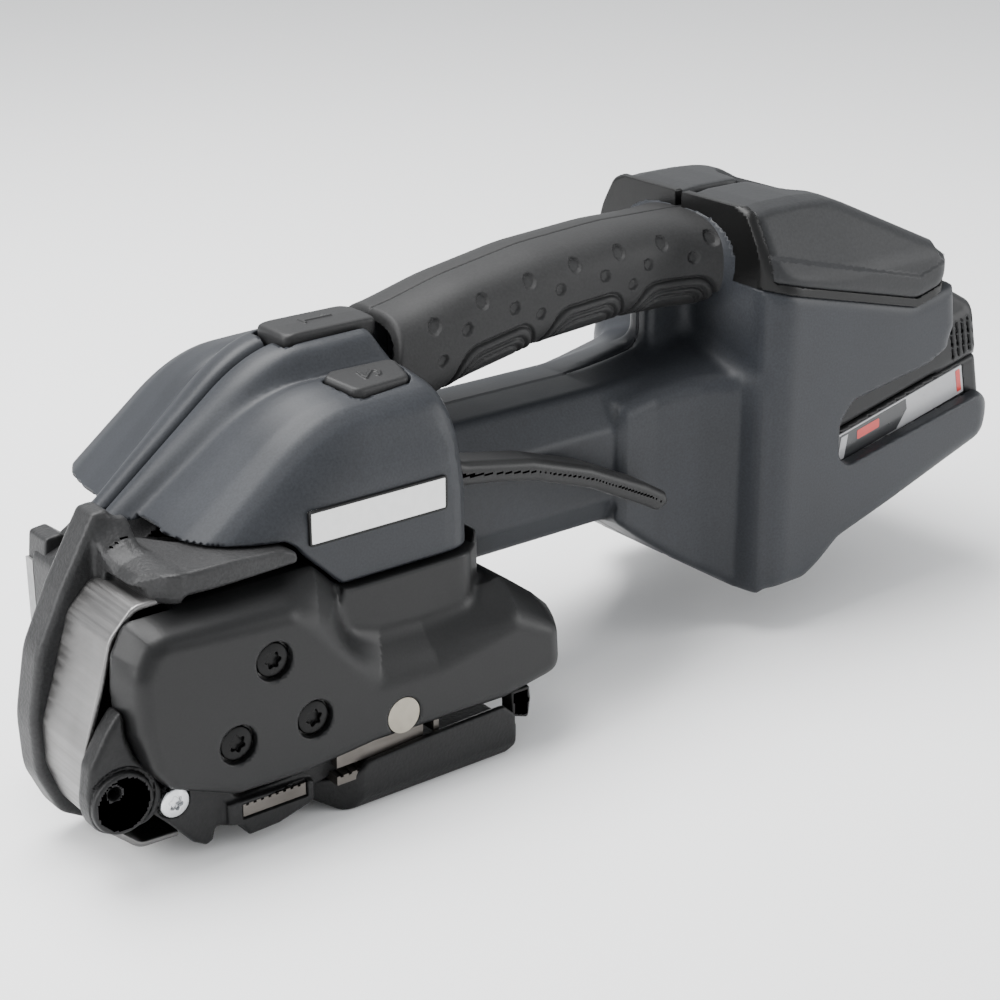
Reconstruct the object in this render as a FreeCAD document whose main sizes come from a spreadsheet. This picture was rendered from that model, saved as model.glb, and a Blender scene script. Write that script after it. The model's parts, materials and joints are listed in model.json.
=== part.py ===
"""Battery strapping tool: tension, friction-weld and cut plastic strap.

Frame: +X from the front casting to the tail, +Y to the far side, +Z up. The origin is on the plane
that the base plate rests on, under the middle of the tool. Millimetres.
"""
import FreeCAD, Part
import math
import os

Vec = FreeCAD.Vector
doc = FreeCAD.newDocument("strapping_tool")

DIMENSIONS = [
    ("coverFace", 54, "side covers' outer faces, from the middle plane"),
    ("bodyHalf", 44, "half the width of the head and the rear block"),
    ("wall", 2.6, "plastic wall"),
    ("plateNear", -20, "near face of the casting's front plate"),
    ("plateFar", -10, "far face of the casting's front plate"),
    ("lidNear", 20, "near face of the gear case lid"),
    ("lidFar", 24, "far face of the gear case lid"),
    ("strapEdge", -34, "far edge of the strap channel"),
    ("footTop", 9.5, "top of the base plate"),
    ("wheelX", -117.8, "tension wheel axis"),
    ("wheelZ", 38.4, "tension wheel axis"),
    ("wheelRadius", 25.5, "tension wheel"),
    ("wheelShaft", 6, "tension shaft radius"),
    ("bearingRadius", 11, "tension bearings' outer radius"),
    ("screwCircle", 13, "radius of the circle of cover screws"),
    ("pinX", -79.2, "rocker pin axis"),
    ("pinZ", 24.1, "rocker pin axis"),
    ("pinRadius", 5, "rocker pin"),
    ("eccentricX", -80, "weld shaft axis"),
    ("eccentricZ", 46, "weld shaft axis"),
    ("eccentricRadius", 6, "weld shaft's eccentric"),
    ("motorZ", 62, "motor and countershaft axis height"),
    ("gearModule", 1.25, "spur gear module"),
    ("gearTeeth", 38, "teeth of the tension gear"),
    ("pinionTeeth", 16, "teeth of the countershaft pinion"),
    ("bevelRadius", 14, "pitch radius of the bevel gear"),
    ("bevelPinionRadius", 7, "pitch radius of the bevel pinion"),
    ("bevelTeeth", 24, "teeth of the bevel gear"),
    ("bevelPinionTeeth", 12, "teeth of the bevel pinion"),
    ("motorRadius", 14.5, "tension motor can"),
    ("tubeZ", 63, "lower tube axis height"),
    ("tubeHalfWidth", 23, "lower tube"),
    ("tubeHalfHeight", 21, "lower tube"),
    ("gripHalfWidth", 17, "handle over the rubber"),
    ("gripHalfHeight", 14.2, "handle over the rubber"),
    ("gripThickness", 3, "rubber over the handle core"),
    ("leverX", -58, "lever pivot"),
    ("leverZ", 83, "lever pivot"),
    ("leverNear", -37.5, "near side of the lever"),
    ("leverFar", -25, "far side of the lever"),
    ("batteryX", 70.4, "battery's front bottom edge"),
    ("batteryZ", 37, "battery's front bottom edge"),
    ("batteryTilt", 12, "rise of the battery to the rear, degrees"),
    ("batteryLength", 96, "battery along its slide"),
    ("batteryHalf", 37.5, "half the battery's width"),
    ("batteryBlock", 32, "height of the battery's block"),
    ("batteryTop", 46, "height over the battery's rails"),
    ("batteryParting", 16, "parting plane of the battery case"),
    ("railHalf", 26, "half the width over the battery's rails"),
    ("railStart", 10, "front end of the rails, from the battery's front face"),
]


def make_sheet():
    """The spreadsheet that holds the driving dimensions, one alias each."""
    book = doc.addObject("Spreadsheet::Sheet", "dims")
    for row, (alias, value, note) in enumerate(DIMENSIONS, start=1):
        book.set("A%d" % row, note)
        book.set("B%d" % row, str(value))
        book.setAlias("B%d" % row, alias)
    doc.recompute()
    return book


sheet = make_sheet()
d = {alias: float(sheet.get(alias)) for alias, value, note in DIMENSIONS}
nodes = []


def rad(degrees):
    return math.radians(degrees)


def keep(thing, label):
    """Names a finished sub-part and lists it for export."""
    thing.Label = label
    nodes.append(thing)
    return thing


def minus(high, low):
    return "(%s) - (%s)" % (high, low)


def edges(points):
    """Line and arc segments of a closed outline; an arc is written ("arc", middle, end)."""
    result = []
    start = points[0]
    for point in points[1:] + [points[0]]:
        if point[0] == "arc":
            middle, end = point[1], point[2]
            ends = [Vec(p[0], p[1], 0) for p in (start, middle, end)]
            result.append(Part.Arc(*ends))
        else:
            end = point
            result.append(Part.LineSegment(Vec(start[0], start[1], 0), Vec(end[0], end[1], 0)))
        start = end
    return result


def new_sketch(body, role, offset, shapes):
    """Sketch on one of the body's own origin planes, moved by offset along the plane's normal."""
    sketch = body.newObject("Sketcher::SketchObject", body.Name + "_outline")
    plane = [feature for feature in body.Origin.OriginFeatures if feature.Role == role][0]
    sketch.AttachmentSupport = [(plane, "")]
    sketch.MapMode = "FlatFace"
    sketch.setExpression(".AttachmentOffset.Base.z", str(offset))
    for shape in shapes:
        sketch.addGeometry(shape, False)
    return sketch


def prism(name, role, points, low, high):
    """Body padded from low to high along the normal axis of one origin plane.

    The XZ plane's normal is -Y, so its sketch starts at high and the pad runs down to low.
    """
    body = doc.addObject("PartDesign::Body", name)
    offset = "-(%s)" % high if role == "XZ_Plane" else str(low)
    sketch = new_sketch(body, role, offset, edges(points))
    pad = body.newObject("PartDesign::Pad", name + "_pad")
    pad.Profile = sketch
    pad.setExpression("Length", minus(high, low))
    body.Tip = pad
    return body


def side(name, points, low, high):
    return prism(name, "XZ_Plane", points, low, high)


def front(name, points, low, high):
    return prism(name, "YZ_Plane", points, low, high)


def plan(name, points, low, high):
    return prism(name, "XY_Plane", points, low, high)


def loft(name, role, sections):
    """Body lofted through outlines, each given as (offset along the normal, list of segments)."""
    body = doc.addObject("PartDesign::Body", name)
    sketches = [new_sketch(body, role, offset, shapes) for offset, shapes in sections]
    solid = body.newObject("PartDesign::AdditiveLoft", name + "_loft")
    solid.Profile = sketches[0]
    solid.Sections = sketches[1:]
    solid.Ruled = True
    body.Tip = solid
    return body


def box(name, low, high):
    """Part box between two corners whose values are numbers or expressions."""
    made = doc.addObject("Part::Box", name)
    for size, axis, first, last in zip(("Length", "Width", "Height"), "xyz", low, high):
        made.setExpression(size, minus(last, first))
        made.setExpression(".Placement.Base.%s" % axis, str(first))
    return made


TURNS = {"X": FreeCAD.Rotation(Vec(0, 1, 0), 90), "Y": FreeCAD.Rotation(Vec(1, 0, 0), -90),
         "Z": FreeCAD.Rotation()}


def cylinder(name, axis, centre, radius, low, high):
    """Part cylinder along an axis; centre gives its place on the two other axes, in XYZ order."""
    made = doc.addObject("Part::Cylinder", name)
    made.Placement = FreeCAD.Placement(Vec(), TURNS[axis])
    made.setExpression("Radius", str(radius))
    made.setExpression("Height", minus(high, low))
    others = [letter for letter in "XYZ" if letter != axis]
    for letter, value in list(zip(others, centre)) + [(axis, low)]:
        made.setExpression(".Placement.Base.%s" % letter.lower(), str(value))
    return made


def fuse(name, *shapes):
    made = doc.addObject("Part::MultiFuse", name)
    made.Shapes = list(shapes)
    return made


def cut(name, base, *tools):
    made = doc.addObject("Part::Cut", name)
    made.Base = base
    made.Tool = tools[0] if len(tools) == 1 else fuse(name + "_tools", *tools)
    return made


def common(name, *shapes):
    made = doc.addObject("Part::MultiCommon", name)
    made.Shapes = list(shapes)
    return made


def group(name, parts):
    made = doc.addObject("Part::Compound", name)
    made.Links = parts
    return made


def mirrored(half):
    """Closes a symmetrical outline given as its half with positive first values, bottom to top."""
    return half + [(-first, second) for first, second in reversed(half)]


def inset(points, gap):
    """The outline moved inwards by gap; the points run counter-clockwise."""
    moved = []
    count = len(points)
    for index in range(count):
        before, here, after = points[index - 1], points[index], points[(index + 1) % count]
        lines = []
        for first, last in ((before, here), (here, after)):
            run = (last[0] - first[0], last[1] - first[1])
            length = math.hypot(*run)
            normal = (-run[1] / length, run[0] / length)
            lines.append((run, (first[0] + normal[0] * gap, first[1] + normal[1] * gap)))
        (run_a, at_a), (run_b, at_b) = lines
        cross = run_a[0] * run_b[1] - run_a[1] * run_b[0]
        along = ((at_b[0] - at_a[0]) * run_b[1] - (at_b[1] - at_a[1]) * run_b[0]) / cross
        moved.append((at_a[0] + run_a[0] * along, at_a[1] + run_a[1] * along))
    return moved


def sector(centre, radius, thickness, start, end):
    """Outline of a ring sector between two angles in degrees."""
    def at(distance, angle):
        return (centre[0] + distance * math.cos(rad(angle)), centre[1] + distance * math.sin(rad(angle)))
    middle = (start + end) / 2
    inner = radius - thickness
    return [at(radius, start), ("arc", at(radius, middle), at(radius, end)), at(inner, end),
            ("arc", at(inner, middle), at(inner, start))]


def screw(name, axis, centre, head, seat, tip, sign):
    """Round-headed screw with a six-lobe socket; head is (radius, height), tip is (radius, length).

    The seat is where the head's underside rests, and sign tells which way the head points.
    """
    def span(first, last):
        return (min(first, last), max(first, last))
    top = seat + sign * head[1]
    head_part = cylinder(name + "_head", axis, centre, head[0], *span(seat, top))
    shank = cylinder(name + "_shank", axis, centre, tip[0], *span(seat, seat - sign * tip[1]))
    socket = cylinder(name + "_socket", axis, centre, head[0] * 0.5, *span(top, top - sign * head[1] * 0.6))
    return cut(name, fuse(name + "_blank", head_part, shank), socket)


def spring(label, axis, centre, radius, wire, low, high, turns):
    """Round-wire compression spring between low and high."""
    helix = doc.addObject("Part::Helix", label + "_line")
    helix.Radius = radius
    helix.Height = high - low - wire
    helix.Pitch = (high - low - wire) / turns
    section = doc.addObject("Part::Circle", label + "_wire")
    section.Radius = wire / 2
    section.Placement = FreeCAD.Placement(Vec(radius, 0, 0), FreeCAD.Rotation(Vec(1, 0, 0), 90))
    made = doc.addObject("Part::Sweep", label)
    made.Sections = [section]
    made.Spine = (helix, ["Edge1"])
    made.Solid = True
    made.Frenet = True
    place = {"X": Vec(low, *centre), "Y": Vec(centre[0], low, centre[1]), "Z": Vec(*centre, low)}[axis]
    ends = {"X": Vec(1, 0, 0), "Y": Vec(0, 1, 0), "Z": Vec(0, 0, 1)}[axis]
    made.Placement = FreeCAD.Placement(place + ends * (wire / 2), TURNS[axis])
    return keep(made, label)


def gear_outline(centre, teeth, pitch_radius, phase, addendum, dedendum, backlash=0.3, stretch=1.0):
    """Straight-flanked gear outline; phase is the angle of one tooth's middle, in degrees.

    A bevel gear's flat section shows its teeth stretched in depth, which makes the flanks steeper.
    """
    flank = math.tan(rad(20)) / stretch
    half = math.pi * pitch_radius / teeth / 2 - backlash / 2
    points = []
    for tooth in range(teeth):
        middle = phase + 360.0 * tooth / teeth
        for radius, way in ((pitch_radius - dedendum, -1), (pitch_radius + addendum, -1),
                            (pitch_radius + addendum, 1), (pitch_radius - dedendum, 1)):
            width = half - (radius - pitch_radius) * flank
            angle = rad(middle) + way * width / radius
            points.append((centre[0] + radius * math.cos(angle), centre[1] + radius * math.sin(angle)))
    return points


# ---------------------------------------------------------------- places worked out from the sheet

WHEEL = (d["wheelX"], d["wheelZ"])
PIN = (d["pinX"], d["pinZ"])
ECCENTRIC = (d["eccentricX"], d["eccentricZ"])
GEAR_RADIUS = d["gearModule"] * d["gearTeeth"] / 2
PINION_RADIUS = d["gearModule"] * d["pinionTeeth"] / 2
MESH_ANGLE = math.degrees(math.asin((d["motorZ"] - d["wheelZ"]) / (GEAR_RADIUS + PINION_RADIUS)))
COUNTER = (d["wheelX"] + (GEAR_RADIUS + PINION_RADIUS) * math.cos(rad(MESH_ANGLE)), d["motorZ"])
GUARD_CENTRE = (-125.0, 33.0)
GUARD_RADIUS = 40.3
HANDLE_LINE = [(-48.0, 104.0), (-28.0, 107.5), (0.0, 112.6), (30.0, 115.0), (60.0, 114.5), (80.0, 112.5)]
PACK = FreeCAD.Placement(Vec(d["batteryX"], 0, d["batteryZ"]),
                         FreeCAD.Rotation(Vec(0, 1, 0), -d["batteryTilt"]))


def in_pack(thing):
    """Moves a shape drawn in the battery's own frame (length, width, height) to its place."""
    thing.Placement = PACK.multiply(thing.Placement)
    return thing


def pack_box(name, low, high):
    """Plain box in the battery's frame; its corners are numbers."""
    made = doc.addObject("Part::Box", name)
    made.Length, made.Width, made.Height = [last - first for first, last in zip(low, high)]
    made.Placement = FreeCAD.Placement(Vec(*low), FreeCAD.Rotation())
    return in_pack(made)


def pack_cylinder(name, axis, centre, radius, low, high):
    made = doc.addObject("Part::Cylinder", name)
    made.Radius = radius
    made.Height = high - low
    start = {"Y": Vec(centre[0], low, centre[1]), "Z": Vec(centre[0], centre[1], low)}[axis]
    made.Placement = FreeCAD.Placement(start, TURNS[axis])
    return in_pack(made)


# ---------------------------------------------------------------- casting and base

def head_frame():
    """Die-cast frame: D-shaped plate, gear case behind it, bar above the side cover."""
    plate = side("frame_plate", [
        (-139.4, 84.4), (-156.0, 68.4), ("arc", (-168.0, 34.0), (-151.0, 3.2)), (-112.0, 3.2),
        (-107.5, 9.8), (-42.0, 9.8), (-42.0, 40.0), (-57.0, 46.0), (-57.0, 76.0), (-127.0, 76.0),
        (-134.0, 82.0),
    ], "dims.plateNear", "dims.plateFar")
    case_outline = [(-146.0, 22.0), (-136.0, 11.0), (-56.0, 11.0), (-56.0, 80.0), (-118.0, 80.0),
                    (-138.0, 67.0), (-146.0, 64.0)]
    case = side("frame_case", case_outline, "dims.plateFar", "dims.lidNear")
    hollow = side("frame_hollow", inset(case_outline, 2.0), "dims.plateFar + 0.5", "dims.lidNear")
    bar = side("frame_bar", [(-145.5, 69.0), (-104.0, 69.0), (-104.8, 72.6), (-119.0, 73.5), (-139.0, 75.5)],
               -46, "dims.plateNear + 2")
    window = cylinder("frame_motor_window", "X", ("0", "dims.motorZ"), 9, -60, -50)
    bearing = cylinder("frame_bearing_bore", "Y", ("dims.wheelX", "dims.wheelZ"),
                       "dims.bearingRadius", -21, -9)
    pin = cylinder("frame_pin_bore", "Y", ("dims.pinX", "dims.pinZ"), "dims.pinRadius", -21, -9)
    weld = cylinder("frame_weld_bore", "Y", ("dims.eccentricX", "dims.eccentricZ"), 4.05, -21, -9)
    body = fuse("frame_blank", plate, case, bar)
    return keep(cut("frame_cut", body, hollow, window, bearing, pin, weld), "head_frame")


def gear_case_lid():
    """Aluminium lid that closes the gear case on the far side."""
    lid = side("lid_plate", [(-146.0, 22.0), (-136.0, 11.0), (-56.0, 11.0), (-56.0, 61.0), (-146.0, 61.0)],
               "dims.lidNear", "dims.lidFar")
    bearing = cylinder("lid_bearing_bore", "Y", ("dims.wheelX", "dims.wheelZ"), "dims.bearingRadius", 19, 25)
    weld = cylinder("lid_weld_bore", "Y", ("dims.eccentricX", "dims.eccentricZ"), 4.05, 19, 25)
    return keep(cut("lid_cut", lid, bearing, weld), "gear_case_lid")


def base_plate():
    """Foot that rests on the parcel; the near part carries the weld plate under the strap."""
    near = side("foot_near", [(-95.7, 0), (-42.0, 0), (-38.5, 9.5), (-104.5, 9.5), (-103.5, 5.0)],
                -53, "dims.strapEdge")
    far = side("foot_far", [(-64.0, 0), (-42.0, 0), (-38.5, 9.5), (-64.0, 9.5)], "dims.strapEdge", 20)
    foot = fuse("foot_blank", near, far)
    sockets = [cylinder("foot_socket_%d" % index, "Z", (-52, y), 4.1, 0, 2.5)
               for index, y in enumerate((-5, 12))]
    bores = [cylinder("foot_bore_%d" % index, "Z", (-52, y), 2.0, 0, 10)
             for index, y in enumerate((-5, 12))]
    return keep(cut("foot_cut", foot, *sockets, *bores), "base_plate")


def base_plate_screws():
    parts = [screw("foot_screw_%d" % index, "Z", (-52, y), (4.0, 2.0), 2.5, (2.0, 6.9), -1)
             for index, y in enumerate((-5, 12))]
    return keep(group("foot_screws", parts), "base_plate_screws")


def weld_plate():
    """Hardened ribbed plate under the two strap layers."""
    blank = box("weld_plate_blank", (-99.5, -52, "dims.footTop"), (-71.5, -36, 12.0))
    grooves = [box("weld_groove_%d" % step, (-98.5 + 2.6 * step, -53, 11.5),
                   (-97.5 + 2.6 * step, -35, 12.5)) for step in range(10)]
    return keep(cut("weld_plate_cut", blank, *grooves), "weld_plate")


def strap_guard():
    """Spring-steel strip that closes the front between the casting and the side cover."""
    outline = sector(GUARD_CENTRE, GUARD_RADIUS, 1.5, 118, 217)
    return keep(side("guard", outline, -42, "dims.plateNear - 0.3"), "strap_guard")


def front_arm():
    """Cast arm along the guard's near edge, ending in a drilled boss."""
    band = side("arm_band", sector(GUARD_CENTRE, GUARD_RADIUS, 4.0, 150, 192), -50, -42.2)
    boss = cylinder("arm_boss", "Y", (-158.6, 21.6), 8.6, -50, -42.2)
    hole = cylinder("arm_hole", "Y", (-158.6, 21.6), 1.7, -51, -42)
    return keep(cut("arm_cut", fuse("arm_blank", band, boss), hole), "front_arm")


# ---------------------------------------------------------------- strap drive

def rocker():
    """Lower arm that carries the toothed plate, swings on the rocker pin."""
    foot_part = side("rocker_base", [(-127.0, 7.8), (-124.3, 3.6), (-109.0, 3.6), (-107.0, 6.0),
                                     (-107.0, 9.0), (-127.0, 9.0)], -50, "dims.strapEdge + 1")
    toe = side("rocker_toe", [(-127.0, 9.0), (-127.0, 7.8), (-131.7, 7.7), (-135.6, 4.8), (-139.2, 7.2),
                              (-149.0, 15.5), (-148.6, 23.6), (-141.0, 22.0), (-132.0, 12.0)], -47.5, -41)
    link = side("rocker_link", [(-127.0, 3.8), (-108.0, 3.8), (-84.0, 16.5), (-84.0, 30.0), (-110.0, 11.6),
                                (-127.0, 11.6)], "dims.strapEdge + 1", -24)
    eye = cylinder("rocker_eye", "Y", ("dims.pinX", "dims.pinZ"), 9.5, "dims.strapEdge + 1", -24)
    bore = cylinder("rocker_bore", "Y", ("dims.pinX", "dims.pinZ"), "dims.pinRadius + 0.05", -54, -20)
    seat = cylinder("rocker_screw_seat", "Y", (-145.2, 19.4), 2.0, -50, -42)
    keep(cut("rocker_cut", fuse("rocker_blank", foot_part, toe, link, eye), bore, seat), "rocker_arm")
    insert = box("insert_blank", (-126.5, -49.8, 9.0), (-107.8, "dims.strapEdge - 0.4", 12.4))
    grooves = [box("insert_groove_%d" % step, (-125.6 + 2.2 * step, -51, 11.9),
                   (-124.7 + 2.2 * step, -30, 13)) for step in range(8)]
    keep(cut("insert_cut", insert, *grooves), "toothed_plate")
    keep(screw("toe_screw", "Y", (-145.2, 19.4), (4.2, 2.4), -47.5, (2.0, 5.0), -1), "rocker_screw")
    pin = cylinder("pin_rod", "Y", ("dims.pinX", "dims.pinZ"), "dims.pinRadius", "-dims.coverFace + 0.4", -10)
    keep(pin, "rocker_pin")


def tension_drive():
    """Tension wheel, its shaft and gear, and the two bearings they turn in."""
    count = 48
    outline = gear_outline(WHEEL, count, d["wheelRadius"] - 0.5, -90 + 180.0 / count, 0.5, 0.5, 0.6)
    wheel = side("wheel_rim", outline, -44.1, -34.5)
    bore = cylinder("wheel_bore", "Y", ("dims.wheelX", "dims.wheelZ"), "dims.wheelShaft", -48, -33)
    keep(cut("wheel_cut", wheel, bore), "tension_wheel")
    thick = cylinder("shaft_thick", "Y", ("dims.wheelX", "dims.wheelZ"), "dims.wheelShaft",
                     -46.5, "dims.lidFar")
    spigot = cylinder("shaft_spigot", "Y", ("dims.wheelX", "dims.wheelZ"), 4, -50, -46.5)
    keep(fuse("shaft_fuse", thick, spigot), "tension_shaft")
    gear = side("gear_rim", gear_outline(WHEEL, int(d["gearTeeth"]), GEAR_RADIUS, MESH_ANGLE,
                                         0.8 * d["gearModule"], d["gearModule"]), 9.5, 15.5)
    gear_bore = cylinder("gear_bore", "Y", ("dims.wheelX", "dims.wheelZ"), "dims.wheelShaft", 9, 16)
    keep(cut("gear_cut", gear, gear_bore), "tension_gear")
    rings = []
    for index, (low, high) in enumerate((("dims.plateNear + 1", "dims.plateFar"),
                                         ("dims.lidNear", "dims.lidFar"))):
        ring = cylinder("bearing_%d" % index, "Y", ("dims.wheelX", "dims.wheelZ"),
                        "dims.bearingRadius", low, high)
        hole = cylinder("bearing_hole_%d" % index, "Y", ("dims.wheelX", "dims.wheelZ"),
                        "dims.wheelShaft + 0.05", low, high)
        rings.append(cut("bearing_ring_%d" % index, ring, hole))
    keep(group("bearings", rings), "tension_bearings")


def countershaft():
    """Countershaft with its pinion and the bevel gear that the motor pinion drives."""
    rod = cylinder("counter_rod", "Y", COUNTER, 4, -9, 19.5)
    pinion = side("counter_pinion", gear_outline(COUNTER, int(d["pinionTeeth"]), PINION_RADIUS,
                                                 MESH_ANGLE + 180 + 180 / d["pinionTeeth"],
                                                 0.8 * d["gearModule"], d["gearModule"]), 9, 16)
    keep(fuse("counter_fuse", rod, pinion), "countershaft")
    keep(bevel("bevel_large", "XZ_Plane", COUNTER, d["bevelTeeth"], d["bevelRadius"],
               d["bevelPinionRadius"], 180 / d["bevelTeeth"], 4.0), "bevel_gear")
    keep(bevel("bevel_small", "YZ_Plane", (0, d["motorZ"]), d["bevelPinionTeeth"], d["bevelPinionRadius"],
               d["bevelRadius"], 0, 3.0), "motor_pinion")


def bevel(name, role, centre, teeth, radius, apex, phase, bore_radius):
    """Straight bevel gear lofted towards the crossing point of the two axes, with its bore."""
    slant = math.hypot(radius, apex) / apex
    module = 2 * radius / teeth
    sections = []
    for scale in (1.0, 0.68):
        outline = gear_outline(centre, int(teeth), radius, phase, 0.6 * module * slant,
                               0.85 * module * slant, 0.35, slant)
        shrunk = [(centre[0] + (x - centre[0]) * scale, centre[1] + (y - centre[1]) * scale)
                  for x, y in outline]
        offset = -apex * scale if role == "XZ_Plane" else COUNTER[0] + apex * scale
        sections.append((offset, edges(shrunk)))
    cone = loft(name, role, sections)
    if role == "XZ_Plane":
        bore = cylinder(name + "_bore", "Y", centre, bore_radius, 0, 20)
    else:
        bore = cylinder(name + "_bore", "X", centre, bore_radius, -100, -60)
    return cut(name + "_cut", cone, bore)


def tension_motor():
    """Motor can in the lower tube, its rotor and the planetary gearbox in front of it."""
    axis = ("0", "dims.motorZ")
    can = cylinder("can_outer", "X", axis, "dims.motorRadius", -46, 14)
    room = cylinder("can_room", "X", axis, "dims.motorRadius - 3", -43, 11)
    opening = cylinder("can_opening", "X", axis, 3.05, -47, 15)
    keep(cut("can_cut", can, room, opening), "tension_motor_can")
    shaft = cylinder("rotor_shaft", "X", axis, 3, "%s + dims.bevelRadius * 0.68" % COUNTER[0], 14)
    core = cylinder("rotor_core", "X", axis, "dims.motorRadius - 3.6", -40, 8)
    keep(fuse("rotor_fuse", shaft, core), "tension_motor_rotor")
    case = cylinder("gearbox_outer", "X", axis, 14, -55.9, -46)
    inner = cylinder("gearbox_inner", "X", axis, 3.05, -56, -45)
    keep(cut("gearbox_cut", case, inner), "planetary_gearbox")


def weld_drive():
    """Weld motor, eccentric shaft, the vibrating jaw above the strap, and the strap cutter."""
    axis = ("dims.eccentricX", "dims.eccentricZ")
    can = cylinder("weld_can", "Y", axis, 12.4, 24.5, 49)
    room = cylinder("weld_can_room", "Y", axis, 10.4, 27, 46.5)
    opening = cylinder("weld_can_opening", "Y", axis, 4.05, 24, 28)
    keep(cut("weld_can_cut", can, room, opening), "weld_motor_can")
    rod = cylinder("weld_rod", "Y", axis, 4, -42.3, 44)
    rotor = cylinder("weld_rotor", "Y", axis, 10, 28, 44)
    disc = cylinder("weld_disc", "Y", ("dims.eccentricX + 1", "dims.eccentricZ"),
                    "dims.eccentricRadius", -41.5, -35)
    keep(fuse("weld_shaft_fuse", rod, rotor, disc), "eccentric_shaft")
    shoe = box("jaw_shoe", (-98.5, -50.5, 13.6), (-71.0, -36.5, 18.4))
    shank = box("jaw_shank", (-91.2, -42, 18.4), (-85.4, -34.6, 36))
    head = box("jaw_head", (-91.2, -42, 34), (-70.0, -34.6, 57))
    slot = box("jaw_slot", (-87.2, -43, 37.4), (-72.3, -34, 55))
    keep(cut("jaw_cut", fuse("jaw_blank", shoe, shank, head), slot), "weld_jaw")
    blade = side("blade", [(-67.5, 14.4), (-65.8, 13.2), (-65.8, 31.6), (-67.5, 31.6)], -50.5, -37)
    keep(blade, "cutter_blade")


# ---------------------------------------------------------------- covers

COVER_OUTLINE = [(-154.9, 60.0), (-154.6, 36.0), (-151.5, 28.6), (-146.4, 23.5), (-129.5, 16.4),
                 (-108.6, 16.0), (-87.5, 17.8), (-45.0, 15.8), (-24.0, 18.5), (-22.0, 24.0), (-22.0, 36.0),
                 (-28.0, 41.5), (-38.0, 49.0), (-46.5, 61.4), (-91.5, 61.4), (-98.5, 68.3), (-149.0, 68.3)]


def side_cover():
    """Near-side cover over the tension wheel and the weld jaw, open below and at its far edge."""
    outer = side("cover_outer", COVER_OUTLINE, "-dims.coverFace", -23.5)
    hollow = side("cover_hollow", inset(COVER_OUTLINE, d["wall"]), "-dims.coverFace + 3.4", -23)
    valley = side("cover_valley", [(-111.0, 62.7), (-85.0, 35.2), (-67.6, 35.4), (-41.0, 40.0), (-20.0, 36.0),
                                   (-20.0, 72.0), (-111.0, 72.0)], -56, -46.4)
    behind = side("cover_valley_back", [(-115.0, 62.7), (-87.0, 32.2), (-67.6, 32.2), (-41.0, 36.8),
                                        (-20.0, 33.0), (-20.0, 72.0), (-115.0, 72.0)], -56, -44.4)
    room = cut("cover_room", hollow, behind)
    below = box("cover_below", (-152, "-dims.coverFace + 3.4", 10), (-56, -23, 30))
    nose = box("cover_nose", (-160, -42.9, 10), (-140, -23, 70))
    sinks = []
    for index, angle in enumerate((90, 210, 330)):
        spot = (WHEEL[0] + d["screwCircle"] * math.cos(rad(angle)),
                WHEEL[1] + d["screwCircle"] * math.sin(rad(angle)))
        sinks.append(cylinder("cover_sink_%d" % index, "Y", spot, 5.2, -55, -51.6))
        sinks.append(cylinder("cover_bore_%d" % index, "Y", spot, 2.0, -52, -50))
    pin = cylinder("cover_pin_bore", "Y", ("dims.pinX", "dims.pinZ"), "dims.pinRadius", -55, -50)
    keep(cut("cover_cut", outer, room, valley, below, nose, pin, *sinks), "side_cover")


def side_cover_screws():
    parts = []
    for index, angle in enumerate((90, 210, 330)):
        spot = (WHEEL[0] + d["screwCircle"] * math.cos(rad(angle)),
                WHEEL[1] + d["screwCircle"] * math.sin(rad(angle)))
        parts.append(screw("cover_screw_%d" % index, "Y", spot, (4.6, 1.6), -51.6, (2.0, 3.6), -1))
    keep(group("cover_screws", parts), "side_cover_screws")
    disc = cylinder("bearing_disc", "Y", ("dims.wheelX", "dims.wheelZ"), 18, "-dims.coverFace + 3.4", -47)
    bores = [cylinder("disc_bore_%d" % index, "Y",
                      (WHEEL[0] + d["screwCircle"] * math.cos(rad(angle)),
                       WHEEL[1] + d["screwCircle"] * math.sin(rad(angle))), 2.0, -52, -46)
             for index, angle in enumerate((90, 210, 330))]
    middle = cylinder("disc_middle", "Y", ("dims.wheelX", "dims.wheelZ"), 4.05, -52, -46)
    keep(cut("disc_cut", disc, middle, *bores), "bearing_plate")


FAR_SCREWS = [(-98.0, 54.0), (-98.0, 19.5), (-55.0, 53.0)]


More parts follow.
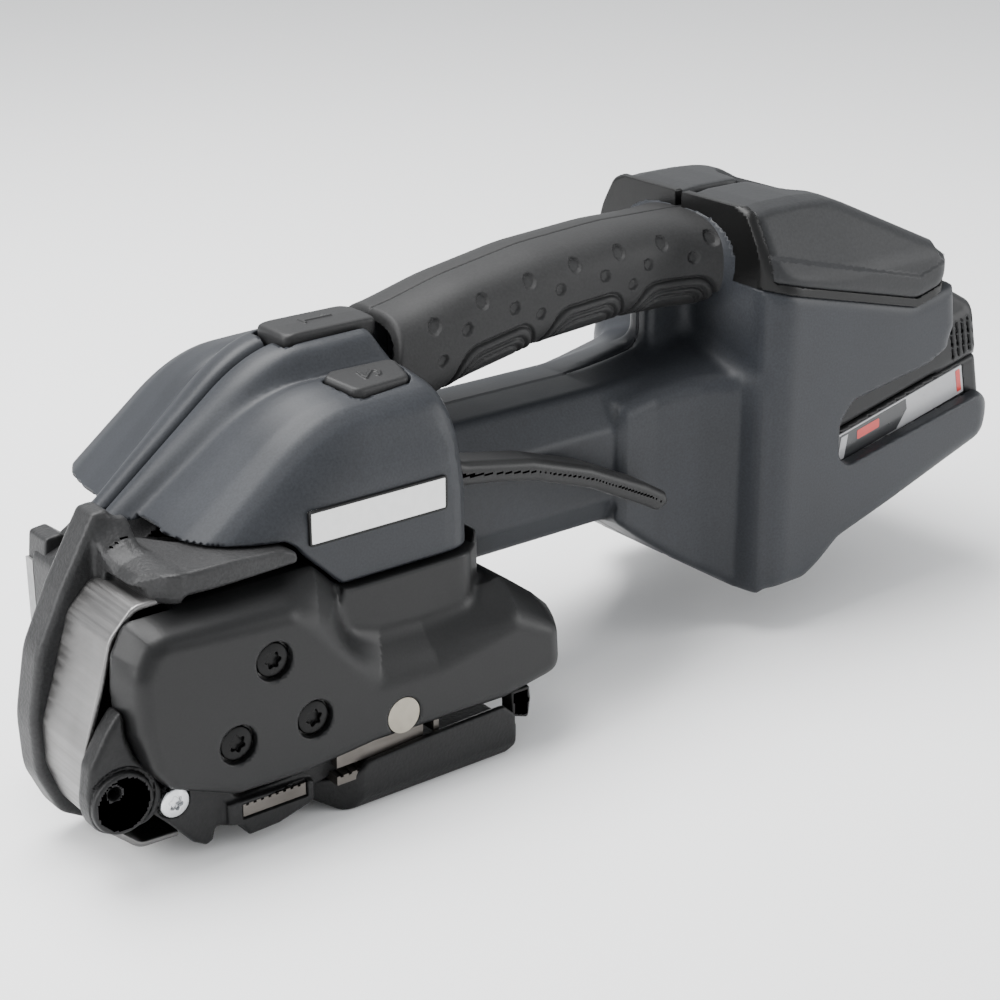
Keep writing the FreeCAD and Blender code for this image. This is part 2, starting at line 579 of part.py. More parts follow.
def far_cover():
    """Far-side cover over the gear case lid and the weld motor."""
    outline = [(-129.5, 22.0), (-122.0, 12.0), (-58.0, 12.0), (-48.0, 22.0), (-48.0, 61.4), (-129.5, 61.4)]
    slant = [(-130.0, 20.0), (-130.0, 27.0), (-104.0, 54.0), (-47.0, 54.0), (-47.0, 20.0)]
    slant_room = [(-127.0, 20.0), (-127.0, 26.6), (-102.9, 51.4), (-47.0, 51.4), (-47.0, 20.0)]
    outer = common("far_solid", side("far_outer", outline, "dims.lidFar", "dims.coverFace"),
                   plan("far_slant", slant, 10, 64))
    hollow = common("far_hollow", side("far_room", inset(outline, d["wall"]), "dims.lidFar", "dims.coverFace"),
                    plan("far_room_slant", slant_room, 10, 64))
    posts = [cylinder("far_post_%d" % index, "Y", spot, 5.4, "dims.lidFar", "dims.coverFace - 1")
             for index, spot in enumerate(FAR_SCREWS)]
    shell = fuse("far_shell", cut("far_empty", outer, hollow),
                 common("far_posts", outer, fuse("far_post_set", *posts)))
    bores = []
    for index, spot in enumerate(FAR_SCREWS):
        bores.append(cylinder("far_bore_%d" % index, "Y", spot, 1.8, 20, 55))
        bores.append(cylinder("far_sink_%d" % index, "Y", spot, 3.9, 50.5, 55))
    keep(cut("far_cut", shell, *bores), "far_cover")
    parts = [screw("far_screw_%d" % index, "Y", spot, (3.8, 2.4), 50.5, (1.8, 26.4), 1)
             for index, spot in enumerate(FAR_SCREWS)]
    keep(group("far_screws", parts), "far_cover_screws")


# ---------------------------------------------------------------- housing

def oval(height, half_width, half_height, sides=16):
    """Many-sided oval in the YZ plane."""
    points = []
    for index in range(sides):
        angle = rad(360.0 * (index + 0.5) / sides)
        points.append((half_width * math.cos(angle), height + half_height * math.sin(angle)))
    return edges(points)


def handle_body(name, shrink):
    """Handle loft along its arched middle line, shrunk by the given thickness."""
    sections = [(x, oval(z, d["gripHalfWidth"] - shrink, d["gripHalfHeight"] - shrink))
                for x, z in HANDLE_LINE]
    return loft(name, "YZ_Plane", sections)


def tube_outline(shrink):
    wide = d["tubeHalfWidth"] - shrink
    tall = d["tubeHalfHeight"] - shrink
    corner = 0.5
    middle = d["tubeZ"]
    half = [(wide * corner, middle - tall), (wide, middle - tall * corner), (wide, middle + tall * corner),
            (wide * corner, middle + tall)]
    return mirrored(half)


HEAD_SIDE = [(-149.0, 69.5), (-141.0, 61.8), (-45.0, 61.8), (-44.5, 100.0), (-48.0, 113.0), (-84.0, 115.5),
             (-91.0, 113.5), (-110.7, 99.5), (-149.0, 78.0)]
HEAD_FRONT = [(44.0, 60.0), (43.9, 84.0), (42.4, 94.0), (37.0, 105.4), (20.0, 108.4), (11.0, 115.6)]
HEAD_PLAN = [(-150.0, -24.0), (-134.0, -43.0), (-126.0, -44.0), (-54.0, -44.0), (-44.0, -36.0),
             (-44.0, 36.0), (-54.0, 44.0), (-126.0, 44.0), (-150.0, 24.0)]
REAR_SIDE = [(61.0, 17.0), (64.0, 14.0), (82.0, 14.5), (96.0, 25.5), (119.0, 31.5), (163.0, 45.5),
             (168.0, 50.0), (168.0, 57.5), (163.0, 60.8), (98.0, 49.4), (93.5, 51.5), (93.0, 64.0),
             (98.0, 70.3), (131.0, 75.3), (141.0, 79.5), (144.5, 86.0), (142.0, 100.8), (124.0, 96.3),
             (66.0, 110.3), (66.0, 132.0), (63.0, 132.0), (61.0, 130.0)]
REAR_FRONT = [(38.0, 10.0), (44.0, 20.0), (44.0, 112.0), (30.5, 132.4)]
REAR_PLAN = [(60.0, -38.5), (66.0, -44.0), (160.0, -44.0), (170.0, -36.0), (170.0, 36.0), (160.0, 44.0),
             (66.0, 44.0), (60.0, 38.5)]
NECK_SIDE = [(19.0, 44.0), (30.0, 35.5), (44.0, 25.5), (61.0, 15.0), (64.0, 15.0), (64.0, 92.8), (27.0, 86.5),
             (19.0, 84.5)]
NECK_PLAN = [(19.0, -23.2), (23.0, -24.6), (34.0, -24.6), (50.0, -27.0), (60.0, -32.0), (64.0, -38.0),
             (64.0, 38.0), (60.0, 32.0), (50.0, 27.0), (34.0, 24.6), (23.0, 24.6), (19.0, 23.2)]


def housing_solid():
    """Head, handle core, lower tube, neck and rear block joined, before they are hollowed and split."""
    head = common("head_outer", side("head_side", HEAD_SIDE, -45, 45),
                  front("head_front", mirrored(HEAD_FRONT), -151, -43),
                  plan("head_plan", HEAD_PLAN, 55, 120))
    tube = front("tube_outer", tube_outline(0), -46, 64)
    rear = common("rear_outer", side("rear_side", REAR_SIDE, -45, 45),
                  front("rear_front", mirrored(REAR_FRONT), 60, 170),
                  plan("rear_plan", REAR_PLAN, 10, 140))
    core = common("core_outer", handle_body("core_bar", d["gripThickness"]),
                  box("core_limit", (-60, -30, 80), (66, 30, 140)))
    neck = common("neck_outer", side("neck_side", NECK_SIDE, -39, 39), plan("neck_plan", NECK_PLAN, 10, 100))
    return fuse("housing_outer", head, tube, neck, rear, core)


def housing_hollows():
    """Everything cut from the housing: rooms, battery bay, button holes, lever slot, casting seat."""
    thin = d["wall"]
    top_room = [(-144.0, 60.0), (-47.6, 60.0), (-47.6, 99.0), (-50.5, 110.2), (-83.0, 112.4), (-90.0, 110.6),
                (-109.6, 96.6), (-146.0, 76.5), (-146.0, 70.0)]
    half_front = [(41.4, 60.0), (41.2, 83.0), (39.8, 93.0), (35.4, 102.8), (18.6, 105.6), (10.0, 112.6)]
    head = common("head_hollow", side("head_room", top_room, -43, 43),
                  front("head_room_front", mirrored(half_front), -152, -43),
                  plan("head_room_plan", inset(HEAD_PLAN, thin), 50, 120))
    tube = front("tube_room", tube_outline(thin), -50, 61)
    neck = side("neck_room", [(24.0, 46.0), (32.0, 37.5), (45.5, 28.0), (58.5, 20.0), (61.0, 20.0), (61.0, 89.6),
                              (28.0, 84.0), (24.0, 82.0)], -22, 22)
    wires = cylinder("wire_room", "X", (0, 111), 5, -52, 66)
    rear_low = side("rear_room_low", [(64.0, 34.0), (64.0, 18.5), (66.0, 17.0), (81.0, 17.5), (95.2, 28.3),
                                      (118.4, 34.3), (158.0, 47.0), (158.0, 52.4), (70.4, 34.0)], -40, 40)
    rear_top = side("rear_room_top", [(64.5, 93.0), (72.0, 89.0), (118.0, 98.2), (72.5, 114.0),
                                      (64.5, 109.0)], -40, 40)
    bay = pack_box("bay_block", (-0.6, -d["batteryHalf"] - 0.4, -0.4), (125, d["batteryHalf"] + 0.4,
                                                                      d["batteryBlock"] + 0.4))
    rails = pack_box("bay_rails", (2.0, -d["railHalf"] - 0.4, d["batteryBlock"]),
                     (125, d["railHalf"] + 0.4, d["batteryTop"] + 0.4))
    casting = side("seat_plate", [(-170.0, 60.0), (-40.0, 60.0), (-50.0, 70.0), (-59.5, 76.4), (-126.5, 76.4),
                                  (-133.6, 83.0), (-139.6, 85.4), (-170.0, 85.4)], -20.4, -9.6)
    case = side("seat_case", [(-170.0, 60.0), (-55.6, 60.0), (-55.6, 80.4), (-118.2, 80.4), (-138.2, 67.4),
                              (-170.0, 67.4)], -9.7, 24.4)
    bar = side("seat_bar", [(-170.0, 50.0), (-90.4, 50.0), (-90.4, 62.1), (-101.0, 71.6), (-103.6, 73.2),
                            (-119.0, 74.2), (-139.0, 76.2), (-170.0, 76.2)], -60, -20)
    lever = box("lever_slot", (-52, "dims.leverNear - 0.6", 60), (-40, "dims.leverFar + 0.6", 97))
    hole = box("button_hole", (-83.4, -8.4, 105), (-52.6, 8.4, 120))
    return [head, tube, neck, wires, rear_low, rear_top, bay, rails, casting, case, bar, lever, hole,
            tilted_box("button_2_hole", 11.8, 7.2, 10)]


BUTTON_2 = (-68.4, -26.4, 107.6)
BUTTON_2_TILT = 10


def tilted_box(name, half_length, half_width, depth):
    """Box whose top lies on the sloping shelf, reaching depth each way along the shelf's normal."""
    made = doc.addObject("Part::Box", name)
    made.Length, made.Width, made.Height = 2 * half_length, 2 * half_width, depth
    turn = FreeCAD.Rotation(Vec(1, 0, 0), BUTTON_2_TILT)
    corner = turn.multVec(Vec(-half_length, -half_width, -depth / 2))
    made.Placement = FreeCAD.Placement(Vec(*BUTTON_2) + corner, turn)
    return made


HOUSING_SCREWS = [(-110.0, 88.0), (-51.5, 104.0), (40.0, 48.5), (77.0, 24.5), (66.6, 100.0)]


def housing():
    """The two clamshell halves and the screws that hold them together."""
    bores = []
    for index, spot in enumerate(HOUSING_SCREWS):
        bores.append(cylinder("shell_bore_%d" % index, "Y", spot, 1.9, -12, 60))
        bores.append(cylinder("shell_sink_%d" % index, "Y", spot, 3.6, 17, 60))
    posts = [cylinder("shell_post_%d" % index, "Y", spot, 4.6, -45, 45)
             for index, spot in enumerate(HOUSING_SCREWS)]
    solid = housing_solid()
    empty = cut("housing_empty", solid, *housing_hollows())
    inner = common("housing_post_parts", solid, fuse("housing_post_set", *posts))
    whole = cut("housing_whole", fuse("housing_posts", empty, inner), *bores)
    near = box("near_side", (-180, -60, 0), (180, 0, 140))
    far = box("far_side", (-180, 0, 0), (180, 60, 140))
    keep(common("housing_near", whole, near), "housing_left")
    keep(common("housing_far", whole, far), "housing_right")
    parts = [screw("shell_screw_%d" % index, "Y", spot, (3.4, 2.4), 17, (1.9, 26.0), 1)
             for index, spot in enumerate(HOUSING_SCREWS)]
    keep(group("shell_screws", parts), "housing_screws")


def grips():
    """Rubber over the handle core, in two halves that meet along the middle."""
    shell = cut("grip_shell", handle_body("grip_outer", 0), handle_body("grip_core", d["gripThickness"]))
    near = box("grip_near", (-42, -30, 80), (60.7, 0, 140))
    far = box("grip_far", (-42, 0, 80), (60.7, 30, 140))
    keep(common("grip_near_half", shell, near), "grip_left")
    keep(common("grip_far_half", shell, far), "grip_right")


def label_plate():
    """Thin blank plate on the flank."""
    plate = box("label_blank", (-100.6, "-dims.bodyHalf - 0.6", 74.2),
                (-57.6, "-dims.bodyHalf - 0.05", 83.8))
    keep(plate, "label_plate")


# ---------------------------------------------------------------- controls

def lever():
    """Curved paddle pulled up towards the handle, with its pin and return spring."""
    outline = [(-64.0, 78.0), (-45.0, 74.6), (-22.0, 70.6), ("arc", (2.0, 62.0), (24.0, 50.0)), (28.5, 52.0),
               (28.0, 55.8), ("arc", (2.0, 68.6), (-22.0, 77.2)), (-46.0, 82.0), (-55.0, 89.0), (-64.0, 88.0)]
    paddle = side("lever_paddle", outline, "dims.leverNear", "dims.leverFar")
    bore = cylinder("lever_bore", "Y", ("dims.leverX", "dims.leverZ"), 3.05, -40, -20)
    keep(cut("lever_cut", paddle, bore), "rocker_lever")
    keep(cylinder("lever_rod", "Y", ("dims.leverX", "dims.leverZ"), 3, -39.2, -20.6), "lever_pin")
    spring("lever_spring", "Y", (d["leverX"], d["leverZ"]), 4.4, 0.8, -24.6, -20.8, 2)


def buttons():
    """Two push buttons, each on a spring above its micro switch."""
    top = box("button_1_top", (-83, -8, 110.4), (-53, 8, 118))
    keep(top, "button_1")
    spring("button_1_spring", "Z", (-62.6, 0.0), 3.2, 0.9, 100.5, 109.9, 4)
    keep(box("switch_1", (-81, -5, 97), (-68, 5, 108.7)), "button_1_switch")
    keep(tilted_box("button_2_top", 11.4, 6.8, 5.4), "button_2")
    keep(box("switch_2", (-79, -32, 90), (-66, -22, 101)), "button_2_switch")
    spring("button_2_spring", "Z", (-61.6, -26.5), 2.4, 0.8, 94.5, 104.2, 4)


# ---------------------------------------------------------------- rear cap and electronics

CAP_SIDE = [(66.3, 111.5), (124.0, 97.5), (143.0, 102.2), (145.5, 104.0), (137.0, 114.0), (96.0, 133.6),
            (85.0, 135.0), (72.0, 135.0), (64.5, 134.2), (62.5, 132.4), (66.3, 132.4)]
CAP_FRONT = [(43.8, 96.0), (43.8, 112.0), (36.0, 124.5), (25.0, 135.0)]
CAP_SCREWS = [-34.0, 34.0]
DISPLAY = FreeCAD.Placement(Vec(113.5, 0, 123.5), FreeCAD.Rotation(Vec(0, 1, 0), 25.5))


def display_box(name, size, low):
    """Box centred in the sloping display recess, size along the slope, across it and deep."""
    made = doc.addObject("Part::Box", name)
    made.Length, made.Width, made.Height = size
    corner = FreeCAD.Placement(Vec(-size[0] / 2, -size[1] / 2, low), FreeCAD.Rotation())
    made.Placement = DISPLAY.multiply(corner)
    return made


def rear_cap():
    """Textured lid over the electronics, on a gasket, with the display let into its slope."""
    limit = common("cap_outer", side("cap_side", CAP_SIDE, -45, 45),
                   front("cap_front", mirrored(CAP_FRONT), 60, 150),
                   plan("cap_plan", REAR_PLAN[:2] + [(140.0, -44.0), (148.0, -34.0), (148.0, 34.0),
                                                     (140.0, 44.0)] + REAR_PLAN[-2:], 90, 140))
    room_side = [(68.9, 100.0), (124.0, 90.0), (138.0, 96.0), (138.0, 109.0), (95.0, 130.6), (85.0, 132.0),
                 (77.0, 131.9), (68.9, 131.2)]
    room_front = [(41.0, 80.0), (41.0, 111.4), (34.0, 122.6), (23.8, 132.2)]
    room = common("cap_room", side("cap_room_side", room_side, -42, 42),
                  front("cap_room_front", mirrored(room_front), 60, 150))
    opening = display_box("display_opening", (40, 36, 12), -6)
    bores = [cylinder("cap_bore_%d" % index, "Z", (141.0, y), 1.6, 90, 118)
             for index, y in enumerate(CAP_SCREWS)]
    sinks = [cylinder("cap_sink_%d" % index, "Z", (141.0, y), 3.2, 106, 120)
             for index, y in enumerate(CAP_SCREWS)]
    keep(cut("cap_cut", limit, room, opening, *bores, *sinks), "rear_cap")
    window = display_box("display_pane", (40, 36, 1.6), -2.6)
    keep(window, "display_window")
    keep(display_box("display_frame", (36, 32, 3), -5.8), "display_module")


def cap_gasket():
    """Rubber strip in the seam between the rear block and its cap."""
    outline = [(66.3, 110.43), (124.0, 96.5), (142.8, 101.1), (143.2, 102.0), (124.0, 97.3), (66.3, 111.23)]
    strip = side("gasket_strip", outline, -43.4, 43.4)
    hollow = box("gasket_hollow", (68.6, -41, 90), (139, 41, 120))
    bores = [cylinder("gasket_bore_%d" % index, "Z", (141.0, y), 1.7, 90, 118)
             for index, y in enumerate(CAP_SCREWS)]
    keep(cut("gasket_cut", strip, hollow, *bores), "cap_gasket")
    parts = [screw("cap_screw_%d" % index, "Z", (141.0, y), (3.0, 1.8), 106, (1.6, 3.4), 1)
             for index, y in enumerate(CAP_SCREWS)]
    keep(group("cap_screw_set", parts), "cap_screws")


BLADES = (-15, -5, 5, 15)


def electronics():
    """Control board above the battery bay, terminal block and its contact blades."""
    start = d["railStart"]
    keep(pack_box("board", (12, -33, 51.5), (66, 33, 53.1)), "control_board")
    block = pack_box("terminal_body", (start - 7.4, -20, 33), (start - 0.8, 20, 45))
    keep(block, "terminal_block")
    blades = [pack_box("blade_%d" % index, (start - 0.8, y - 0.4, 35), (start + 9, y + 0.4, 43))
              for index, y in enumerate(BLADES)]
    keep(group("blade_set", blades), "contact_blades")


# ---------------------------------------------------------------- battery

def battery():
    """Slide-in pack: two case halves, five cells, screws, label band and release button."""
    wide, length = d["batteryHalf"], d["batteryLength"]
    thin = 1.8
    part_z, block, top = d["batteryParting"], d["batteryBlock"], d["batteryTop"]
    lower = cut("pack_lower", pack_box("pack_lower_outer", (0, -wide, 0), (length, wide, part_z)),
                pack_box("pack_lower_room", (thin, -wide + thin, thin), (length - thin, wide - thin, part_z)),
                pack_box("pack_label_seat", (18, -wide - 1, 5), (88, -wide + 0.5, 14.5)))
    keep(lower, "battery_case_lower")
    start = d["railStart"]
    rail, stop = d["railHalf"], length - 12
    outer = fuse("pack_upper_outer", pack_box("pack_upper_block", (0, -wide, part_z), (length, wide, block)),
                 pack_box("pack_rail_block", (start, -21, block), (stop, 21, top)),
                 pack_box("pack_rail_flange", (start, -rail, top - 6), (stop, rail, top)))
    slots = [pack_box("pack_slot_%d" % index, (start - 1, y - 1.3, 34), (start + 11, y + 1.3, 44))
             for index, y in enumerate(BLADES)]
    room = pack_box("pack_upper_room", (thin, -wide + thin, part_z), (stop, wide - thin, block - thin))
    cell_room = pack_box("pack_cell_room", (thin, -wide + thin, part_z), (length - thin, wide - thin, 21.8))
    latch_room = pack_box("pack_latch_room", (length - 9, -13.4, 22.6), (length + 1, 13.4, 30.4))
    keep(cut("pack_upper", outer, room, cell_room, latch_room, *slots), "battery_case_upper")
    keep(pack_box("latch", (length - 6, -13, 23), (length + 1.5, 13, 30)), "release_button")
    cells = [pack_cylinder("cell_%d" % index, "Y", (11.2 + 18.4 * index, 12.4), 9.1, -32.5, 32.5)
             for index in range(5)]
    keep(group("cell_set", cells), "battery_cells")
    keep(pack_box("label_band", (18, -wide, 5), (88, -wide + 0.5, 14.5)), "battery_label")


head_frame()
gear_case_lid()
base_plate()
base_plate_screws()
weld_plate()
strap_guard()
front_arm()
rocker()
tension_drive()
countershaft()
tension_motor()
weld_drive()
side_cover()
side_cover_screws()
far_cover()
housing()
grips()
label_plate()
lever()
buttons()
rear_cap()
cap_gasket()
electronics()
battery()
doc.recompute()

failed = [thing.Name for thing in doc.Objects if "Invalid" in thing.State or "Error" in thing.State]
for thing in nodes:
    if thing.Shape.isNull() or not thing.Shape.isValid() or not thing.Shape.Solids:
        failed.append(thing.Label)
if failed:
    raise RuntimeError("failed objects: %s" % ", ".join(failed))

os.makedirs("parts", exist_ok=True)
for old in os.listdir("parts"):
    os.remove(os.path.join("parts", old))
for thing in nodes:
    thing.Shape.exportStep(os.path.join("parts", thing.Label + ".step"))
    bounds = thing.Shape.BoundBox
    print("%-22s %2d solids %9.0f mm3  x %.1f..%.1f y %.1f..%.1f z %.1f..%.1f" % (
        thing.Label, len(thing.Shape.Solids), thing.Shape.Volume, bounds.XMin, bounds.XMax,
        bounds.YMin, bounds.YMax, bounds.ZMin, bounds.ZMax))
print(len(nodes), "nodes")
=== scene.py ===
import json
import math

import bpy
import numpy as np
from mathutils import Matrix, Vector


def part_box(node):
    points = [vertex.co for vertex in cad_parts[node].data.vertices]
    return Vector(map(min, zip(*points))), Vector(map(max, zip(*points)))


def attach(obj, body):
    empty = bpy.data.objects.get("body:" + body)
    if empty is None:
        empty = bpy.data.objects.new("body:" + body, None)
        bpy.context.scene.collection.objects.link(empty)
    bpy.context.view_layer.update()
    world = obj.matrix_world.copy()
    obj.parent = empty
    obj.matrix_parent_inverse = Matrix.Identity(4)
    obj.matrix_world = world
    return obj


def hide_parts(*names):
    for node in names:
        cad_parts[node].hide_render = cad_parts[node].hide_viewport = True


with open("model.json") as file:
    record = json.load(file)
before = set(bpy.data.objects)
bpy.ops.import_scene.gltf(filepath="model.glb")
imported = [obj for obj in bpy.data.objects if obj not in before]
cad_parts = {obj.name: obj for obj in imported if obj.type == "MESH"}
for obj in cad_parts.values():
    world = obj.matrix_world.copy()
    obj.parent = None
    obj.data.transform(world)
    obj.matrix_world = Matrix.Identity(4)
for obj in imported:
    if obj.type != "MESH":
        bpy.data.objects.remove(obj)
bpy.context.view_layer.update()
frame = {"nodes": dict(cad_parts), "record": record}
NODES = frame["nodes"]

# ---------------------------------------------------------------- camera, floor and lights

TARGET = Vector((0.0, 0.0, 0.065))
AZIMUTH, ELEVATION, DISTANCE = math.radians(38.13), math.radians(20.32), 0.63254


def add_camera():
    back = Vector((-math.sin(AZIMUTH) * math.cos(ELEVATION), -math.cos(AZIMUTH) * math.cos(ELEVATION),
                   math.sin(ELEVATION)))
    data = bpy.data.cameras.new("camera")
    data.lens = 77.175
    data.sensor_width = 36
    data.shift_x = -0.0156
    data.shift_y = -0.0519
    data.clip_start = 0.01
    camera = bpy.data.objects.new("camera", data)
    camera.location = TARGET + back * DISTANCE
    camera.rotation_euler = (-back).to_track_quat("-Z", "Y").to_euler()
    bpy.context.scene.collection.objects.link(camera)
    bpy.context.scene.camera = camera


def add_light(name, place, aim, size, power, tint=(1, 1, 1)):
    data = bpy.data.lights.new(name, "AREA")
    data.shape = "RECTANGLE"
    data.size, data.size_y = size
    data.energy = power
    data.color = tint
    lamp = bpy.data.objects.new(name, data)
    lamp.location = place
    lamp.rotation_euler = (Vector(aim) - Vector(place)).to_track_quat("-Z", "Y").to_euler()
    bpy.context.scene.collection.objects.link(lamp)


def add_stage():
    world = bpy.data.worlds.new("studio")
    world.use_nodes = True
    ground = world.node_tree.nodes["Background"]
    ground.inputs[0].default_value = (0.96, 0.98, 1.0, 1)
    ground.inputs[1].default_value = 0.95
    bpy.context.scene.world = world
    mesh = bpy.data.meshes.new("floor")
    mesh.from_pydata([(-9, -9, 0), (9, -9, 0), (9, 9, 0), (-9, 9, 0)], [], [(0, 1, 2, 3)])
    floor = bpy.data.objects.new("floor", mesh)
    bpy.context.scene.collection.objects.link(floor)
    paint = bpy.data.materials.new("floor_paint")
    paint.use_nodes = True
    shader = paint.node_tree.nodes["Principled BSDF"]
    shader.inputs["Base Color"].default_value = (0.93, 0.93, 0.93, 1)
    shader.inputs["Roughness"].default_value = 0.9
    mesh.materials.append(paint)
    add_light("top_box", (-0.15, 0.25, 0.95), (0, 0, 0.06), (0.9, 0.6), 20)
    add_light("left_box", (-1.0, 0.15, 0.55), (-0.05, 0, 0.07), (0.4, 0.8), 12)
    add_light("near_box", (0.95, -0.8, 0.4), (0.08, 0, 0.07), (0.4, 0.6), 7)


# ---------------------------------------------------------------- materials

def nodes_of(material):
    material.use_nodes = True
    tree = material.node_tree
    return tree, tree.nodes["Principled BSDF"]


def noise(tree, scale, detail=3.0, stretch=None):
    place = tree.nodes.new("ShaderNodeTexCoord")
    made = tree.nodes.new("ShaderNodeTexNoise")
    made.inputs["Scale"].default_value = scale
    made.inputs["Detail"].default_value = detail
    if stretch:
        turn = tree.nodes.new("ShaderNodeMapping")
        turn.inputs["Scale"].default_value = stretch
        tree.links.new(place.outputs["Object"], turn.inputs["Vector"])
        tree.links.new(turn.outputs["Vector"], made.inputs["Vector"])
    else:
        tree.links.new(place.outputs["Object"], made.inputs["Vector"])
    return made


def ramp(tree, source, stops):
    made = tree.nodes.new("ShaderNodeValToRGB")
    band = made.color_ramp
    while len(band.elements) < len(stops):
        band.elements.new(0.5)
    for element, (position, colour) in zip(band.elements, stops):
        element.position = position
        element.color = (*colour, 1)
    tree.links.new(source, made.inputs["Fac"])
    return made.outputs["Color"]


def spread(tree, source, low, high):
    made = tree.nodes.new("ShaderNodeMapRange")
    made.inputs["From Min"].default_value = 0.3
    made.inputs["From Max"].default_value = 0.7
    made.inputs["To Min"].default_value = low
    made.inputs["To Max"].default_value = high
    tree.links.new(source, made.inputs["Value"])
    return made.outputs["Result"]


def bumped(tree, shader, heights):
    """Chains bumps; heights is a list of (height source, strength, distance in metres)."""
    last = None
    for source, strength, distance in heights:
        bump = tree.nodes.new("ShaderNodeBump")
        bump.inputs["Strength"].default_value = strength
        bump.inputs["Distance"].default_value = distance
        tree.links.new(source, bump.inputs["Height"])
        if last:
            tree.links.new(last, bump.inputs["Normal"])
        last = bump.outputs["Normal"]
    tree.links.new(last, shader.inputs["Normal"])


def moulded(name, colour, rough, grain=1600, depth=0.00006, strength=0.35, shift=0.12, metal=0.0, specular=0.28):
    """Moulded or cast surface: grained, with faint cloudy changes of tone and sheen."""
    material = bpy.data.materials.new(name)
    tree, shader = nodes_of(material)
    shader.inputs["Metallic"].default_value = metal
    shader.inputs["Specular IOR Level"].default_value = specular
    fine = noise(tree, grain, 2)
    broad = noise(tree, 38, 4)
    dark = tuple(channel * (1 - shift) for channel in colour)
    light = tuple(channel * (1 + shift) for channel in colour)
    tint = ramp(tree, broad.outputs["Fac"], [(0.3, dark), (0.7, light)])
    speck = ramp(tree, fine.outputs["Fac"], [(0.3, (0.82, 0.82, 0.82)), (0.7, (1.15, 1.15, 1.15))])
    mix = tree.nodes.new("ShaderNodeMixRGB")
    mix.blend_type = "MULTIPLY"
    mix.inputs["Fac"].default_value = 1
    tree.links.new(tint, mix.inputs["Color1"])
    tree.links.new(speck, mix.inputs["Color2"])
    tree.links.new(mix.outputs["Color"], shader.inputs["Base Color"])
    tree.links.new(spread(tree, broad.outputs["Fac"], rough - 0.04, rough + 0.04), shader.inputs["Roughness"])
    bumped(tree, shader, [(fine.outputs["Fac"], strength, depth)])
    return material


def brushed(name, colour, rough, stretch, scale=900, strength=0.12):
    """Metal with fine brush lines along the direction that stretch makes long."""
    material = bpy.data.materials.new(name)
    tree, shader = nodes_of(material)
    shader.inputs["Metallic"].default_value = 1.0
    lines = noise(tree, scale, 3, stretch)
    broad = noise(tree, 60, 3)
    dark = tuple(channel * 0.82 for channel in colour)
    light = tuple(min(1, channel * 1.12) for channel in colour)
    tree.links.new(ramp(tree, broad.outputs["Fac"], [(0.3, dark), (0.7, light)]), shader.inputs["Base Color"])
    tree.links.new(spread(tree, lines.outputs["Fac"], rough - 0.08, rough + 0.1), shader.inputs["Roughness"])
    bumped(tree, shader, [(lines.outputs["Fac"], strength, 0.00004)])
    return material


def glossy(name, colour, rough=0.2, coat=0.3):
    """Printed or polished plastic with faint dust in its sheen."""
    material = bpy.data.materials.new(name)
    tree, shader = nodes_of(material)
    shader.inputs["Coat Weight"].default_value = coat
    dust = noise(tree, 420, 5)
    dark = tuple(channel * 0.95 for channel in colour)
    tree.links.new(ramp(tree, dust.outputs["Fac"], [(0.35, dark), (0.65, colour)]), shader.inputs["Base Color"])
    tree.links.new(spread(tree, dust.outputs["Fac"], rough - 0.03, rough + 0.06), shader.inputs["Roughness"])
    bumped(tree, shader, [(dust.outputs["Fac"], 0.05, 0.00003)])
    return material


